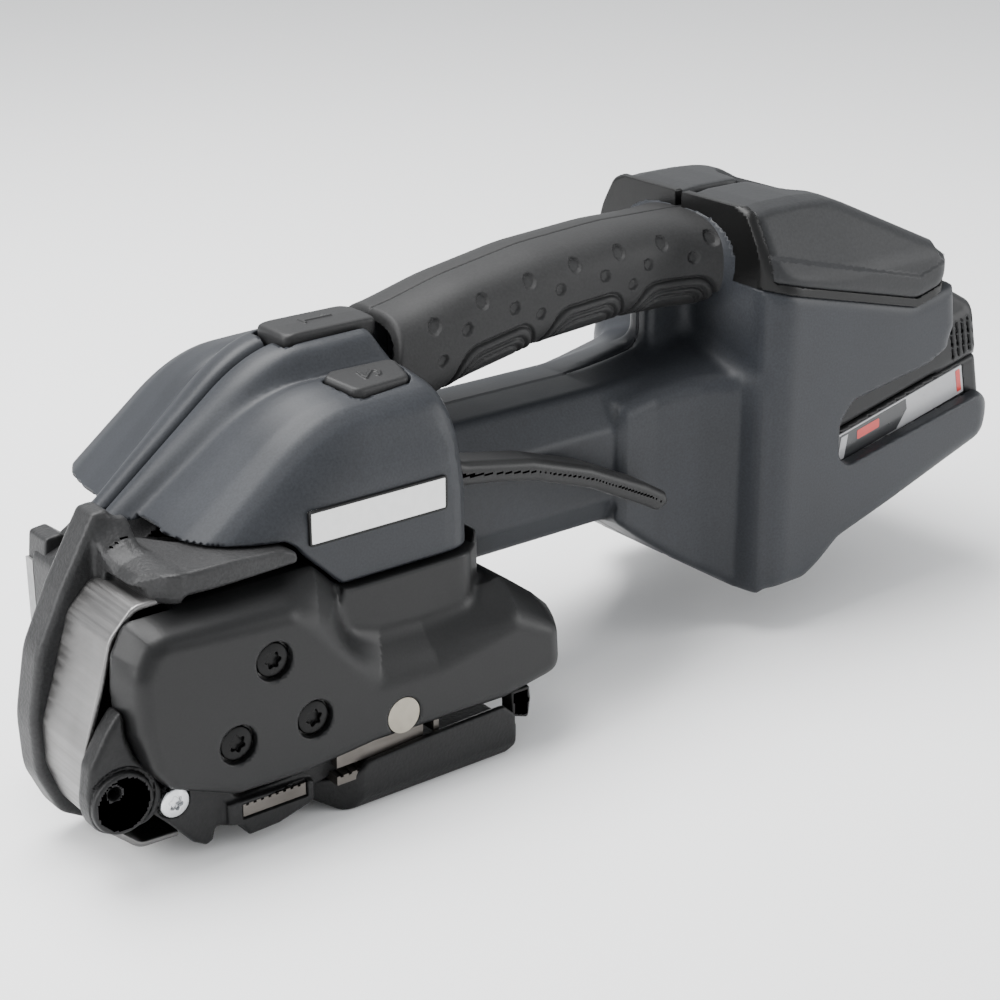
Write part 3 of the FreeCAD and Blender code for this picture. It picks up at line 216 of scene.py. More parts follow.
PAINT = {
    "body_grey": moulded("body_grey_look", (0.0205, 0.0224, 0.0264), 0.44, 1500, 0.00005, 0.3),
    "cover_black": moulded("cover_black_look", (0.0057, 0.0058, 0.0061), 0.4, 1500, 0.00005, 0.3),
    "grip_rubber": moulded("grip_rubber_look", (0.0156, 0.0156, 0.0159), 0.56, 1300, 0.00008, 0.4),
    "button_rubber": moulded("button_rubber_look", (0.014, 0.014, 0.0145), 0.48, 1500, 0.00005, 0.3),
    "gasket_rubber": moulded("gasket_rubber_look", (0.0018, 0.0018, 0.0018), 0.4),
    "cap_plastic": moulded("cap_plastic_look", (0.0156, 0.0162, 0.0174), 0.5, 1000, 0.0001, 0.45),
    "lever_plastic": moulded("lever_plastic_look", (0.0114, 0.0114, 0.0117), 0.42),
    "cast_grey": moulded("cast_grey_look", (0.027, 0.027, 0.0276), 0.45, 1100, 0.00018, 0.75, 0.2, 0.35),
    "cast_black": moulded("cast_black_look", (0.0102, 0.0102, 0.0105), 0.45, 1000, 0.00018, 0.7, 0.25, 0.25),
    "screw_black": moulded("screw_black_look", (0.007, 0.007, 0.007), 0.3, 2500, 0.00002, 0.2, 0.2, 0.6),
    "black_plastic": moulded("black_plastic_look", (0.0036, 0.0036, 0.0036), 0.45),
    "battery_grey": moulded("battery_grey_look", (0.0072, 0.0075, 0.0081), 0.42, 1500, 0.00006, 0.35),
    "steel": brushed("steel_look", (0.2, 0.197, 0.195), 0.42, (1, 0.03, 1)),
    "steel_hard": brushed("steel_hard_look", (0.13, 0.12, 0.11), 0.42, (0.05, 1, 1), 700, 0.2),
    "steel_pin": brushed("steel_pin_look", (0.27, 0.25, 0.21), 0.38, (1, 1, 1), 500, 0.2),
    "steel_bright": brushed("steel_bright_look", (0.6, 0.61, 0.62), 0.26, (1, 1, 0.1)),
    "lid_aluminium": brushed("lid_look", (0.3, 0.3, 0.3), 0.5, (0.1, 1, 1), 600, 0.3),
    "copper": brushed("copper_look", (0.78, 0.48, 0.3), 0.3, (0.1, 1, 1)),
    "label_white": glossy("label_white_look", (0.8, 0.8, 0.79), 0.32),
    "display_glass": glossy("display_glass_look", (0.004, 0.004, 0.005), 0.08, 1.0),
    "board_green": glossy("board_green_look", (0.012, 0.09, 0.035), 0.35),
    "battery_band": glossy("battery_band_look", (0.36, 0.36, 0.37), 0.3),
    "band_dark": glossy("band_dark_look", (0.02, 0.021, 0.023), 0.3),
    "band_red": glossy("band_red_look", (0.5, 0.03, 0.025), 0.3),
    "cell_blue": glossy("cell_blue_look", (0.03, 0.1, 0.32), 0.35),
}


def dress_frame():
    """Every CAD piece that stays in view gets the look of its material slot."""
    slots = {part["node"]: part["material_slot"] for part in frame["record"]["subparts"]}
    for name, thing in NODES.items():
        thing.data.materials.clear()
        thing.data.materials.append(PAINT[slots[name]])
    NODES["rocker_pin"].data.materials.clear()
    NODES["rocker_pin"].data.materials.append(PAINT["steel_pin"])


# ---------------------------------------------------------------- shapes as distance fields, in millimetres

def outline(points, steps=6):
    """Closed outline; a point may hold a third value, the radius that rounds its corner."""
    made = []
    count = len(points)
    for index, point in enumerate(points):
        here = np.array(point[:2], float)
        if len(point) < 3:
            made.append(here)
            continue
        before = np.array(points[index - 1][:2], float) - here
        after = np.array(points[(index + 1) % count][:2], float) - here
        la, lb = np.linalg.norm(before), np.linalg.norm(after)
        before, after = before / la, after / lb
        angle = math.acos(max(-1, min(1, float(before @ after))))
        reach = min(point[2] / math.tan(angle / 2), 0.48 * la, 0.48 * lb)
        start, end = here + before * reach, here + after * reach
        for step in range(steps + 1):
            t = step / steps
            made.append(start * (1 - t) ** 2 + here * 2 * t * (1 - t) + end * t * t)
    return np.array(made)


def inside(points, steps=6):
    """Signed distance to a closed outline in two coordinates."""
    line = outline(points, steps)
    ends = np.roll(line, -1, axis=0)

    def field(u, v):
        u, v = np.broadcast_arrays(u, v)
        best = np.full(u.shape, 1e9)
        sign = np.ones(u.shape)
        for (ax, ay), (bx, by) in zip(line, ends):
            ex, ey = bx - ax, by - ay
            wx, wy = u - ax, v - ay
            t = np.clip((wx * ex + wy * ey) / (ex * ex + ey * ey + 1e-12), 0, 1)
            best = np.minimum(best, (wx - ex * t) ** 2 + (wy - ey * t) ** 2)
            above, below, left = v >= ay, v < by, ex * wy > ey * wx
            flip = (above & below & left) | ~(above | below | left)
            sign = np.where(flip, -sign, sign)
        return sign * np.sqrt(best)
    return field


def both(a, b, k=0.0):
    """Intersection with an edge rounded over about k."""
    if k <= 0:
        return np.maximum(a, b)
    h = np.maximum(k - np.abs(a - b), 0) / k
    return np.maximum(a, b) + h * h * k * 0.25


def either(a, b, k=0.0):
    """Union with a fillet of about k."""
    return -both(-a, -b, k)


def without(a, b, k=0.0):
    """a with b taken away."""
    return both(a, -b, k)


def slab(v, low, high):
    """Distance to the layer between low and high."""
    return np.abs(v - (low + high) / 2) - (high - low) / 2


def block(x, y, z, low, high, k=0.0):
    return both(both(slab(x, low[0], high[0]), slab(y, low[1], high[1]), k), slab(z, low[2], high[2]), k)


def rod(u, v, w, centre, radius, low, high, k=0.0):
    """Cylinder along w."""
    return both(np.hypot(u - centre[0], v - centre[1]) - radius, slab(w, low, high), k)


def table(points, blur=2.0):
    """Smoothed curve through (position, value) points."""
    xs = np.arange(points[0][0] - 20, points[-1][0] + 20, 0.25)
    ys = np.interp(xs, [p[0] for p in points], [p[1] for p in points])
    width = max(1, int(blur / 0.25))
    pad = np.concatenate([np.full(2 * width, ys[0]), ys, np.full(2 * width, ys[-1])])
    kernel = np.ones(width) / width
    ys = np.convolve(np.convolve(pad, kernel, "same"), kernel, "same")[2 * width:-2 * width]
    return lambda value: np.interp(value, xs, ys)


def net(field, low, high, step):
    """Mesh of the field's zero surface: one vertex in each cell that it crosses, four round each crossed edge."""
    axes = [np.arange(low[k], high[k] + step, step) for k in range(3)]
    shape = tuple(len(axis) for axis in axes)
    values = field(axes[0][:, None, None], axes[1][None, :, None], axes[2][None, None, :])
    grid = np.ascontiguousarray(np.broadcast_to(values, shape))
    filled = grid < 0
    strides = np.array([shape[1] * shape[2], shape[2], 1])
    all_cells, all_points = [], []
    for k, (i, j) in enumerate(((1, 2), (2, 0), (0, 1))):
        first, second = [slice(None)] * 3, [slice(None)] * 3
        first[k], second[k] = slice(0, -1), slice(1, None)
        index = np.argwhere(filled[tuple(first)] != filled[tuple(second)])
        index = index[(index[:, i] > 0) & (index[:, j] > 0) & (index[:, i] < shape[i] - 1)
                      & (index[:, j] < shape[j] - 1)]
        near = grid[tuple(index.T)]
        beyond = index.copy()
        beyond[:, k] += 1
        far = grid[tuple(beyond.T)]
        points = index * step + np.array(low, float)
        points[:, k] += near / (near - far) * step
        base = index @ strides
        cells = np.stack([base - a * strides[i] - b * strides[j] for a, b in ((0, 0), (1, 0), (1, 1), (0, 1))], 1)
        cells[near > 0] = cells[near > 0][:, ::-1]
        all_cells.append(cells)
        all_points.append(points)
    cells, points = np.concatenate(all_cells), np.concatenate(all_points)
    _, inverse = np.unique(cells.ravel(), return_inverse=True)
    inverse = inverse.ravel()
    count = np.bincount(inverse)
    spread_out = np.repeat(points, 4, axis=0)
    vertices = np.stack([np.bincount(inverse, spread_out[:, k]) / count for k in range(3)], 1)
    return vertices, inverse.reshape(-1, 4)


def slope(field, points, reach=0.05):
    columns = []
    for k in range(3):
        shift = np.zeros(3)
        shift[k] = reach
        columns.append((field(*(points + shift).T) - field(*(points - shift).T)) / (2 * reach))
    return np.stack(columns, 1)


def settle(field, points, step):
    """Moves the vertices onto the surface, and returns them with the surface's normals."""
    for _ in range(3):
        lean = slope(field, points)
        size = np.maximum((lean ** 2).sum(1), 0.05)
        move = -lean * (field(*points.T) / size)[:, None]
        length = np.maximum(np.linalg.norm(move, axis=1), 1e-9)
        points = points + move * np.minimum(1, 0.6 * step / length)[:, None]
    lean = slope(field, points)
    return points, lean / np.maximum(np.linalg.norm(lean, axis=1), 1e-9)[:, None]


def shell(name, field, low, high, step, body, slot, replaced=()):
    """A piece whose surface is the field's zero surface."""
    low, high = [v - 2 * step for v in low], [v + 2 * step for v in high]
    points, quads = net(field, low, high, step)
    points, normals = settle(field, points, step)
    mesh = bpy.data.meshes.new(name)
    mesh.from_pydata((points / 1000).tolist(), [], quads.tolist())
    mesh.polygons.foreach_set("use_smooth", [True] * len(quads))
    mesh.materials.append(PAINT[slot])
    mesh.normals_split_custom_set_from_vertices(normals.tolist())
    piece = bpy.data.objects.new(name, mesh)
    bpy.context.scene.collection.objects.link(piece)
    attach(piece, body)
    if replaced:
        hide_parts(*replaced)


def middle(node):
    """A CAD node's middle in millimetres."""
    low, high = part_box(node)
    return (low + high) * 500


# ---------------------------------------------------------------- housing

SEAM_RISE = 0.79        # how steeply the head's front edge climbs
HEAD_WALL = 5
TUBE_WALL = 2.6
NECK_WALL = 3.4
GRIP_SKIN = 3.0         # thickness of the rubber on the handle
ROUNDNESS = 2.6         # power of the handle's section: 2 is an ellipse, more is squarer
SPLIT_OVERLAP = 0.5     # how far each housing half runs past the middle, under the groove
TUBE_MIDDLE = 63
SLIDE_TILT = math.radians(12)
SLIDE_START = (70.4, 37)
PACK_SIDE = 37.4
RIDGES = table([(0, 0), (6, -0.5), (8.5, -1.6), (12.5, -5.2), (15, -5.4), (20, -5.6), (30, -7.2), (36, -9.8),
                (40, -13.8), (44, -22), (50, -60)], 2.4)
CROWN = table([(0, 0), (7, -0.3), (9.5, -1.6), (12.5, -7.9), (14, -8.2), (17, -7.2), (22, -7.4), (31, -8.9),
               (36, -10.6), (40, -14), (44, -22), (50, -60)], 2.4)
HEAD_PLAN = inside([(-151, 0), (-150.5, -22, 9), (-134, -43.2, 14), (-126, -44, 6), (-46.5, -44, 12), (-44.6, 0)])
REAR_LEAN = table([(55, 0), (78, -0.6), (92, -3.0), (104, -8), (112, -14)], 4)
HEAD_BASE = inside([(-160, 76), (-148, 75), (-141, 77.8), (-124, 78, 3), (-107, 77, 2), (-103.8, 74.8, 1),
                    (-101, 71.4, 1), (-90.6, 61.2, 2), (-49, 61.2, 1), (-48, 65), (-30, 65), (-30, 130),
                    (-160, 130)])
TUBE = inside([(0, -21, 4), (17, -21, 6), (23, -11, 6), (23, 10, 5), (14.5, 20.6, 5), (0, 21.4, 6),
               (-14.5, 20.6, 5), (-23, 10, 5), (-23, -11, 6), (-17, -21, 6)])
REAR_SIDE = inside([(61, 17.5, 3), (64.2, 14.2, 3), (82, 14.6, 5), (96, 25.2, 10), (119, 31.8, 10), (163, 45.6, 4),
                    (167.8, 49.8, 2), (167.8, 57, 1.5), (160, 60), (141.5, 80, 3), (144, 86, 4), (142, 100.4, 2),
                    (124, 96.6, 12), (63.4, 111.4, 1), (63.4, 132, 0.6), (62.2, 132, 0.8), (61, 129, 3)])
REAR_FRONT = inside([(0, 8), (38, 8, 3), (43.6, 19, 8), (44, 60, 5), (44, 110, 8), (30.5, 131.9, 4), (0, 132)])
REAR_PLAN = inside([(60.9, 0), (61, -37, 9), (69, -44, 11), (160, -44, 8), (169, -36, 4), (169, 0)])
WINDOW = inside([(97.5, 49.3, 4), (93, 53, 4), (93, 64.4, 5), (98.5, 70.4, 5), (131, 75.3, 8), (141.4, 79.6, 2),
                 (147, 92), (190, 92), (190, 62), (160, 60.7)])
NECK_SIDE = inside([(19, 44), (30, 35.5, 8), (44, 25.5, 8), (61, 15), (64, 15), (64, 92.8), (27, 86.5, 6),
                    (19, 84.5)])
NECK_PLAN = inside([(19, -23.4), (22.5, -24.4, 2), (34, -24.4, 10), (50, -27, 10), (60, -32, 4), (64, -38),
                    (64, 0), (19, 0)])
GRIP_TOP = table([(-60, 116), (-46, 118.2), (-28, 122.8), (0, 127.4), (30, 129.3), (60, 128.8), (84, 126.8)], 6)
GRIP_LOW = table([(-60, 86), (-46, 88.5), (-28, 94), (0, 99.2), (30, 101.2), (60, 100.5), (84, 98.4)], 6)


def handle(x, y, z, shrink=0.0):
    """Rounded bar along the handle's line, wider where it meets the rear block."""
    top, low = GRIP_TOP(x), GRIP_LOW(x)
    v = (z - (top + low) / 2) / ((top - low) / 2 - shrink)
    w = y / (16.8 - shrink + 6.5 * np.clip((x - 42) / 22, 0, 1.2) ** 2)
    return ((np.abs(v) ** ROUNDNESS + np.abs(w) ** ROUNDNESS) ** (1 / ROUNDNESS) - 1) * 13


def head(x, y, z):
    """Outer skin of the housing's head, with its crown, grooves, shelf and sloping front."""
    s = np.abs(y)
    groove = np.clip(9 + (x + 135) * 0.13, 8.5, 17)
    inner = s * 12.5 / groove
    outer = 12.5 + (s - groove) * 23.5 / (36 - groove)
    spot = np.where(s < groove, inner, np.where(s < 36, outer, s))
    front = 69.5 + (x + 149) * SEAM_RISE + RIDGES(spot)
    top = 115.2 + (x + 88) * 0.03 + CROWN(spot)
    roof = (z - either(front, top, 9)) * 0.8
    walls = HEAD_PLAN(x - REAR_LEAN(z) * np.clip((x + 90) / 40, 0, 1), -s)
    return both(both(roof, walls, 5), HEAD_BASE(x, z), 1.2)


def rear(x, y, z):
    """Outer skin of the rear block."""
    s = np.abs(y)
    return both(both(REAR_SIDE(x, z), REAR_FRONT(s, z), 4), REAR_PLAN(x, -s), 5)


def tube(x, y, z):
    """Lower tube between the head and the rear block."""
    return both(TUBE(y, z - TUBE_MIDDLE), slab(x, -47, 66), 0.5)


def neck(x, y, z):
    """The tube's wide end, with a sloping belly and a crest that rises to the handle."""
    s = np.abs(y)
    crest = (z - (86.5 + (x - 27) * 0.166)) + np.maximum(s - 3, 0) * 0.34
    return both(both(both(NECK_SIDE(x, z), NECK_PLAN(x, -s), 3), crest * 0.9, 4), slab(x, 18, 66))


def along(x, z):
    """Coordinates along and across the battery's slide."""
    return ((x - SLIDE_START[0]) * math.cos(SLIDE_TILT) + (z - SLIDE_START[1]) * math.sin(SLIDE_TILT),
            -(x - SLIDE_START[0]) * math.sin(SLIDE_TILT) + (z - SLIDE_START[1]) * math.cos(SLIDE_TILT))


def bay(x, y, z):
    """Room for the battery, its window in both walls, and the open rear."""
    u, w = along(x, z)
    pack_room = both(slab(u, -0.6, 130), both(slab(y, -37.9, 37.9), slab(w, -0.4, 32.4), 1.0))
    rail_room = both(slab(u, 2.0, 130), both(slab(y, -26.4, 26.4), slab(w, 30, 46.4), 0.6))
    open_sides = both(WINDOW(x, z), slab(y, -60, 60))
    return either(both(either(pack_room, rail_room), 63.4 - x), open_sides)


def rooms(x, y, z):
    """Hollows of the tube, the neck and the rear block."""
    low = both(inside([(69, 34), (69, 21), (81, 21), (95.2, 30), (118.4, 35.6), (154, 47.4), (154, 51),
                       (70.4, 33.8)])(x, z), slab(y, -36, 36))
    top = both(inside([(70, 93), (74, 89), (116, 98), (76, 109), (70, 107)])(x, z), slab(y, -35, 35))
    mid = both(neck(x, y, z) + NECK_WALL, slab(x, 20, 57.5))
    front = both(TUBE(y, z - TUBE_MIDDLE) + TUBE_WALL, slab(x, -60, 60))
    return either(either(low, top), either(mid, front))


def body_shell(x, y, z):
    """Rear block, neck, tube and handle core in one hollowed skin."""
    core = both(handle(x, y, z, GRIP_SKIN), slab(x, -46, 70))
    flank = either(tube(x, y, z), neck(x, y, z), 2.4)
    skin = either(either(rear(x, y, z), flank, 5), core, 6)
    web = both(both(slab(x, 47, 66), slab(y, -5, 5), 3), slab(z, 84, 104), 3)
    skin = either(skin, web, 5)
    skin = without(skin, rooms(x, y, z))
    skin = without(skin, bay(x, y, z), 0.8)
    return both(skin, -45.4 - x)


def head_shell(x, y, z):
    """Hollow head with its open underside, the casting's seat, the button's recess and the lever's slot."""
    skin = head(x, y, z)
    skin = without(skin, both(skin + HEAD_WALL, slab(z, 50, 108)))
    skin = without(skin, block(x, y, z, (-155, -41, 50), (-47.5, 41, 74)))
    seat = both(inside([(-170, 60), (-40, 60), (-50, 70), (-59.5, 76.4), (-126.5, 76.4), (-133.6, 83),
                        (-141, 86.8), (-170, 88)])(x, z), slab(y, -20.4, -9.6))
    skin = without(skin, seat, 0.4)
    skin = without(skin, block(x, y, z, (-83.6, -8.6, 100), (-52.4, 8.6, 140), 2.5), 0.5)
    return without(skin, block(x, y, z, (-52, -38.2, 50), (-40, -24.3, 92), 1), 0.6)


def button_two_shape(x, y, z, grow=0.0):
    """Push button on the shelf: a slanted block in plan, with its top parallel to the shelf."""
    plan_shape = inside([(-77, -19.5, 2), (-80.6, -22, 2), (-77.6, -33.2, 3), (-60, -32, 3), (-56.8, -20, 3)])(x, y)
    top = (z - (109.9 + (y + 20) * 0.14)) * 0.99
    made = both(both(plan_shape - grow, top - grow, 1.4), 100 - z)
    mark = both(strokes(x + 68.6, y + 26.2, TWO, STROKE), np.abs(top) - 0.4)
    return made if grow else either(made, mark, 0.5)


def parting(y):
    """Fine groove where the two halves meet."""
    return 0.45 * np.exp(-(y / 0.32) ** 2)


def add_housing():
    """Head and body of each half, as the two shells of one moulding."""
    step = 0.9
    half = {"near": (lambda y: y - SPLIT_OVERLAP, (-45, 0.6), "housing_left"),
            "far": (lambda y: -SPLIT_OVERLAP - y, (-0.6, 45), "housing_right")}
    for name, (side, (low, high), node) in half.items():
        def top_part(x, y, z, side=side):
            skin = without(head_shell(x, y, z), button_two_shape(x, y, z, 0.45), 0.5)
            return both(skin + parting(y), side(y))

        def back_part(x, y, z, side=side):
            return both(body_shell(x, y, z) + parting(y), side(y))
        shell("housing_head_" + name, top_part, (-151, low, 59), (-44, high, 119), step, "tool", "body_grey",
              [node])
        shell("housing_body_" + name, back_part, (-46, low, 13), (169, high, 132), step * 1.15, "tool", "body_grey",
              [node])


# ---------------------------------------------------------------- handle grip and buttons

def grip(x, y, z):
    """Rubber skin with rows of dimples and three nested pads along each side."""
    skin = handle(x, y, z)
    end = (x - 66 - np.clip(17 - np.abs(y), 0, 9) * 0.3 + np.clip(112 - z, 0, 30) * 0.75) * 0.8
    start = -(x + 50.5) + np.abs(y) * 0.1 - (118 - z) * 0.3
    v = z - (GRIP_TOP(x) + GRIP_LOW(x)) / 2
    dent = 0
    for offset, first, pitch, count, radius in ((8.3, -39.6, 16.45, 7, 1.9), (3.2, -29.6, 16.45, 7, 1.6),
                                                (-1.7, -38.1, 34.2, 3, 1.5)):
        for index in range(count):
            away = np.hypot(x - first - pitch * index, v - offset)
            dent = dent + 0.6 * np.clip((radius + 0.35 - away) / 0.7, 0, 1)
    for cx in (-18.9, 14.2, 47):
        pad = both(np.abs(x - cx) - 11.2 - 0.42 * np.clip(-2.8 - v, 0, 12), v + 2.8, 4.5)
        for depth, edge in ((0.75, 0.0), (0.6, 2.9), (0.5, 5.0)):
            dent = dent + depth * np.exp(-((pad + edge) / 0.5) ** 2)
        dent = dent - 0.35 * np.clip(-(pad + 0.5), 0, 1)
    skin = skin + np.where(np.abs(y) > 5, dent, 0) + 0.4 * np.exp(-(y / 0.35) ** 2)
    return without(both(both(skin, end, 0.8), start, 1.0), handle(x, y, z, GRIP_SKIN))


def add_grip():
    """Two rubber halves, each stopping short of the joint between them."""
    for name, side, low, high, node in (("near", lambda y: y - 0.4, -24, 0.5, "grip_left"),
                                        ("far", lambda y: -0.4 - y, -0.5, 24, "grip_right")):
        shell("grip_" + name, lambda x, y, z, side=side: both(grip(x, y, z), side(y)),
              (-54, low, 84), (70, high, 131), 0.52, "tool", "grip_rubber", [node])


def strokes(u, v, lines, width):
    """Distance to a set of straight strokes of the given half width."""
    best = 1e3
    for (ax, ay), (bx, by) in lines:
        ex, ey = bx - ax, by - ay
        t = np.clip(((u - ax) * ex + (v - ay) * ey) / (ex * ex + ey * ey), 0, 1)
        best = np.minimum(best, np.hypot(u - ax - ex * t, v - ay - ey * t))
    return best - width


STROKE = 0.42           # half the width of a raised figure's line
ONE = [((-4.5, 0), (4.5, 0)), ((-4.5, -1.6), (-4.5, 1.6)), ((4.5, 0), (2.8, 1.6))]
TWO = [((-2.6, -1.8), (-2.6, 1.8)), ((-2.6, -1.8), (0.8, 1.3)), ((0.8, 1.3), (2.0, 1.3)), ((2.0, 1.3), (2.6, 0)),
       ((2.6, 0), (2.0, -1.3)), ((2.0, -1.3), (1.3, -1.6))]


def button_one(x, y, z):
    """Front push button: a long cushion with a raised figure 1."""
    low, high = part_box("button_1")
    low, high = low * 1000, high * 1000
    top = high.z - 0.3 - np.clip(np.abs(x + 68) - 9, 0, 9) ** 2 * 0.012 - np.abs(y) * 0.03
    body = both(block(x, y, z, (low.x + 0.2, low.y + 0.2, low.z), (high.x - 0.2, high.y - 0.2, high.z + 9), 3.0),
                (z - top), 1.4)
    mark = both(strokes(x + 68, y, ONE, STROKE), slab(z, high.z - 2, high.z))
    return either(body, mark, 0.5)


def add_buttons():
    """Both push buttons, each riding on its own body."""
    shell("button_one", button_one, (-84, -9, 109), (-52, 9, 119), 0.4, "button_1_body", "button_rubber",
          ["button_1"])
    shell("button_two", lambda x, y, z: both(button_two_shape(x, y, z), 104 - z), (-82, -35, 103), (-55, -18, 111),
          0.4, "button_2_body", "button_rubber", ["button_2"])


def lever_paddle(x, y, z):
    """Curved paddle: rounded near edge, flat flanks and a blunt tip."""
    side_shape = inside([(-64, 78, 4), (-45, 74.8, 8), (-36, 73.6, 4), (-22, 70.8, 20), (-1, 63.4, 20), (19, 53.4, 10),
                         (24.6, 50.2, 2), (28.3, 52, 1), (27.6, 55.6, 2), (20, 60.2, 10), (-1, 70.2, 20),
                         (-22, 77.4, 20), (-46, 82, 8), (-55, 88.8, 6), (-64, 88, 4)])(x, z)
    solid = both(side_shape, slab(y, -37.4, -25.1), 3)
    return without(solid, rod(x, z, y, (-58, 83), 3.05, -45, -15))


# ---------------------------------------------------------------- casting and guard

WHEEL_MIDDLE = (-117.8, 38.4)
D_PLATE = inside([(-142.6, 87.2, 2), (-147.2, 86.8, 2), (-157.4, 69, 5), (-164.6, 54, 20), (-168, 36, 30),
                  (-167.4, 21, 14), (-162, 9, 8), (-151, 2.6, 6), (-136, 2.4, 4), (-128, 10), (-107, 10),
                  (-107, 68), (-134, 75), (-141, 81.6, 1.5)])


def casting(x, y, z):
    """Front plate with its raised rim, the prong, the bar over the cover, and the gear case behind."""
    full = D_PLATE(x, z)
    plate = both(full, slab(y, -20, -10), 2.2)
    recess = both(both(full + 9.5, slab(y, -30, -15.5)), z - 70)
    plate = without(plate, recess, 1)
    bar_side = inside([(-147, 71.2, 1.5), (-146, 76.4, 2), (-140, 77.4, 3), (-124, 77.5, 20), (-108.5, 76.4, 3),
                       (-105, 74.6, 1.7), (-105.2, 72, 1), (-124, 71.4)])(x, z)
    plan = inside([(-147.5, -18), (-147, -36, 6), (-140, -45.8, 6), (-130, -46.6, 10), (-104.8, -46.6, 1.5),
                   (-104.8, -36, 2), (-128, -27, 8), (-134, -18)])(x, y)
    bar = both(both(bar_side, plan, 1.4), slab(y, -60, -16))
    ridge = np.interp(y, [-46, -38, -30, -24, -20, -10], [77.2, 76.4, 77.2, 80.5, 84.6, 85.4])
    ramp = both(both(slab(x, -147.5, -138), slab(y, -46, -12), 2), z - ridge - np.minimum(x + 142, 0) * 0.5, 2)
    made = either(either(plate, bar, 2), both(both(ramp, 70 - z), plan), 2)
    made = without(made, block(x, y, z, (-160, -41, 60), (-144.5, -24, 73.5), 2), 1)
    case = both(inside([(-146, 22, 3), (-136, 11, 3), (-56, 11), (-56, 80), (-118, 80), (-138, 67, 4),
                        (-146, 64, 4)])(x, z), slab(y, -10.5, 20), 0.6)
    room = both(inside([(-143, 24), (-135, 14), (-59, 14), (-59, 77), (-119, 77), (-136, 65), (-143, 61)])(x, z),
                slab(y, -9, 25))
    made = without(either(made, case), room)
    return without(made, rod(x, z, y, WHEEL_MIDDLE, 11.1, -25, 30))


GUARD = inside([(-135, 71.2), (-149.5, 70.8, 5), (-156.2, 64, 6), (-160.6, 50, 12), (-165.2, 36, 12), (-165.2, 25, 10),
                (-161.4, 14, 8), (-152, 5.5, 6), (-135, 5)])


def guard(x, y, z):
    """Bent steel strip in front of the tension wheel."""
    return both(both(slab(GUARD(x, z), -1.6, 0), slab(y, -42, -19.7), 0.6), x + 141)


BOSS = (-159.3, 24.2)
ARM = inside([(-157, 49, 1.5), (-161.8, 43, 4), (-166.6, 35, 5), (-167.8, 27, 5), (-166.8, 18, 6), (-160, 15, 8),
              (-151, 16, 6), (-147, 22, 6), (-150, 29, 4), (-154.5, 35, 3), (-156.5, 41, 3)])


def front_arm(x, y, z):
    """Black cast arm along the guard's near edge, ending in a bored boss."""
    arm = both(ARM(x, z), slab(y, -48.6, -42), 2)
    boss = rod(x, z, y, BOSS, 8.4, -50, -42, 1.4)
    groove = both(slab(np.hypot(x - BOSS[0], z - BOSS[1]), 8.2, 9.2), slab(y, -60, -48.2))
    hole = rod(x, z, y, (-161.6, 27.8), 1.8, -60, -40)
    return without(without(either(arm, boss, 0.6), groove, 0.4), hole, 0.5)


# ---------------------------------------------------------------- covers

COVER_FACE = inside([(-149.5, 64.6, 6), (-111, 62.2, 5), (-86.5, 35.4, 5), (-67.5, 35.2, 5), (-41, 40.4, 6),
                     (-27.5, 33.8, 4), (-26.6, 22, 4), (-45, 18.6, 6), (-87.5, 19.4), (-108.6, 17.4),
                     (-129, 18, 5), (-147, 25.2, 5), (-152, 31, 4), (-154.4, 42, 6), (-154.6, 56, 6)])
COVER_BACK = inside([(-153.2, 68.4, 4), (-98.8, 68.4, 3), (-91.6, 60.6, 3), (-90, 50.4, 3), (-68, 48.6, 10),
                     (-48.6, 47.6, 4), (-38.4, 49.2, 4), (-28, 41.4, 5), (-22, 35.8, 3), (-22, 24, 3),
                     (-24.5, 18.2, 3), (-45, 15.8, 8), (-87.5, 16.4), (-108.6, 15), (-129.5, 15.6, 6),
                     (-147.4, 23.5, 5), (-153.6, 31, 4), (-157.2, 41, 6), (-158, 52, 6), (-157.2, 61, 5)])
COLLAR = inside([(-96, 48), (-91.8, 61), (-88, 60.6), (-46.8, 60.6), (-45, 64.4, 1), (-43.2, 60, 3), (-42.6, 44),
                 (-60, 40)])
COVER_DEPTH = 11.5      # from the flat face back to the widest outline
COVER_WALL = 2.6


def cover(x, y, z, back=-23.5):
    """Black side cover: flat near face, bevelled edge, V-shaped valley and a collar under the housing."""
    t = np.clip((y + 54) / COVER_DEPTH, 0, 1)
    t = t * (2 - t) * 0.35 + t * 0.65
    sides = COVER_FACE(x, z) * (1 - t) + COVER_BACK(x, z) * t
    main = both(sides, slab(y, -54, back), 3.2)
    collar_plan = inside([(-96, back), (-96, -46.2), (-52, -46.2, 9), (-42.8, -38, 6), (-42.8, back)])(x, y)
    return either(main, both(both(COLLAR(x, z), collar_plan, 1), slab(y, -60, back)), 2.5)


def cover_shell(x, y, z):
    """The cover hollowed out, and cut back where the rocker and the guard pass."""
    skin = without(cover(x, y, z), cover(x, y, z, 20) + COVER_WALL)
    skin = without(skin, block(x, y, z, (-150, -50.6, 5), (-56, -20, 21)), 0.5)
    return without(skin, block(x, y, z, (-160, -42.9, 5), (-140, -20, 80)), 0.8)


def cover_with_holes(x, y, z):
    """The cover with the counterbores of its screws and the hole for the rocker pin's end."""
    skin = cover_shell(x, y, z)
    for place in COVER_SCREWS:
        skin = without(skin, rod(x, z, y, place, 5.2, -60, -51.6), 0.5)
        skin = without(skin, rod(x, z, y, place, 2.0, -60, -40))
    pin = middle("rocker_pin")
    return without(skin, rod(x, z, y, (pin.x, pin.z), 5.15, -60, -40), 0.5)


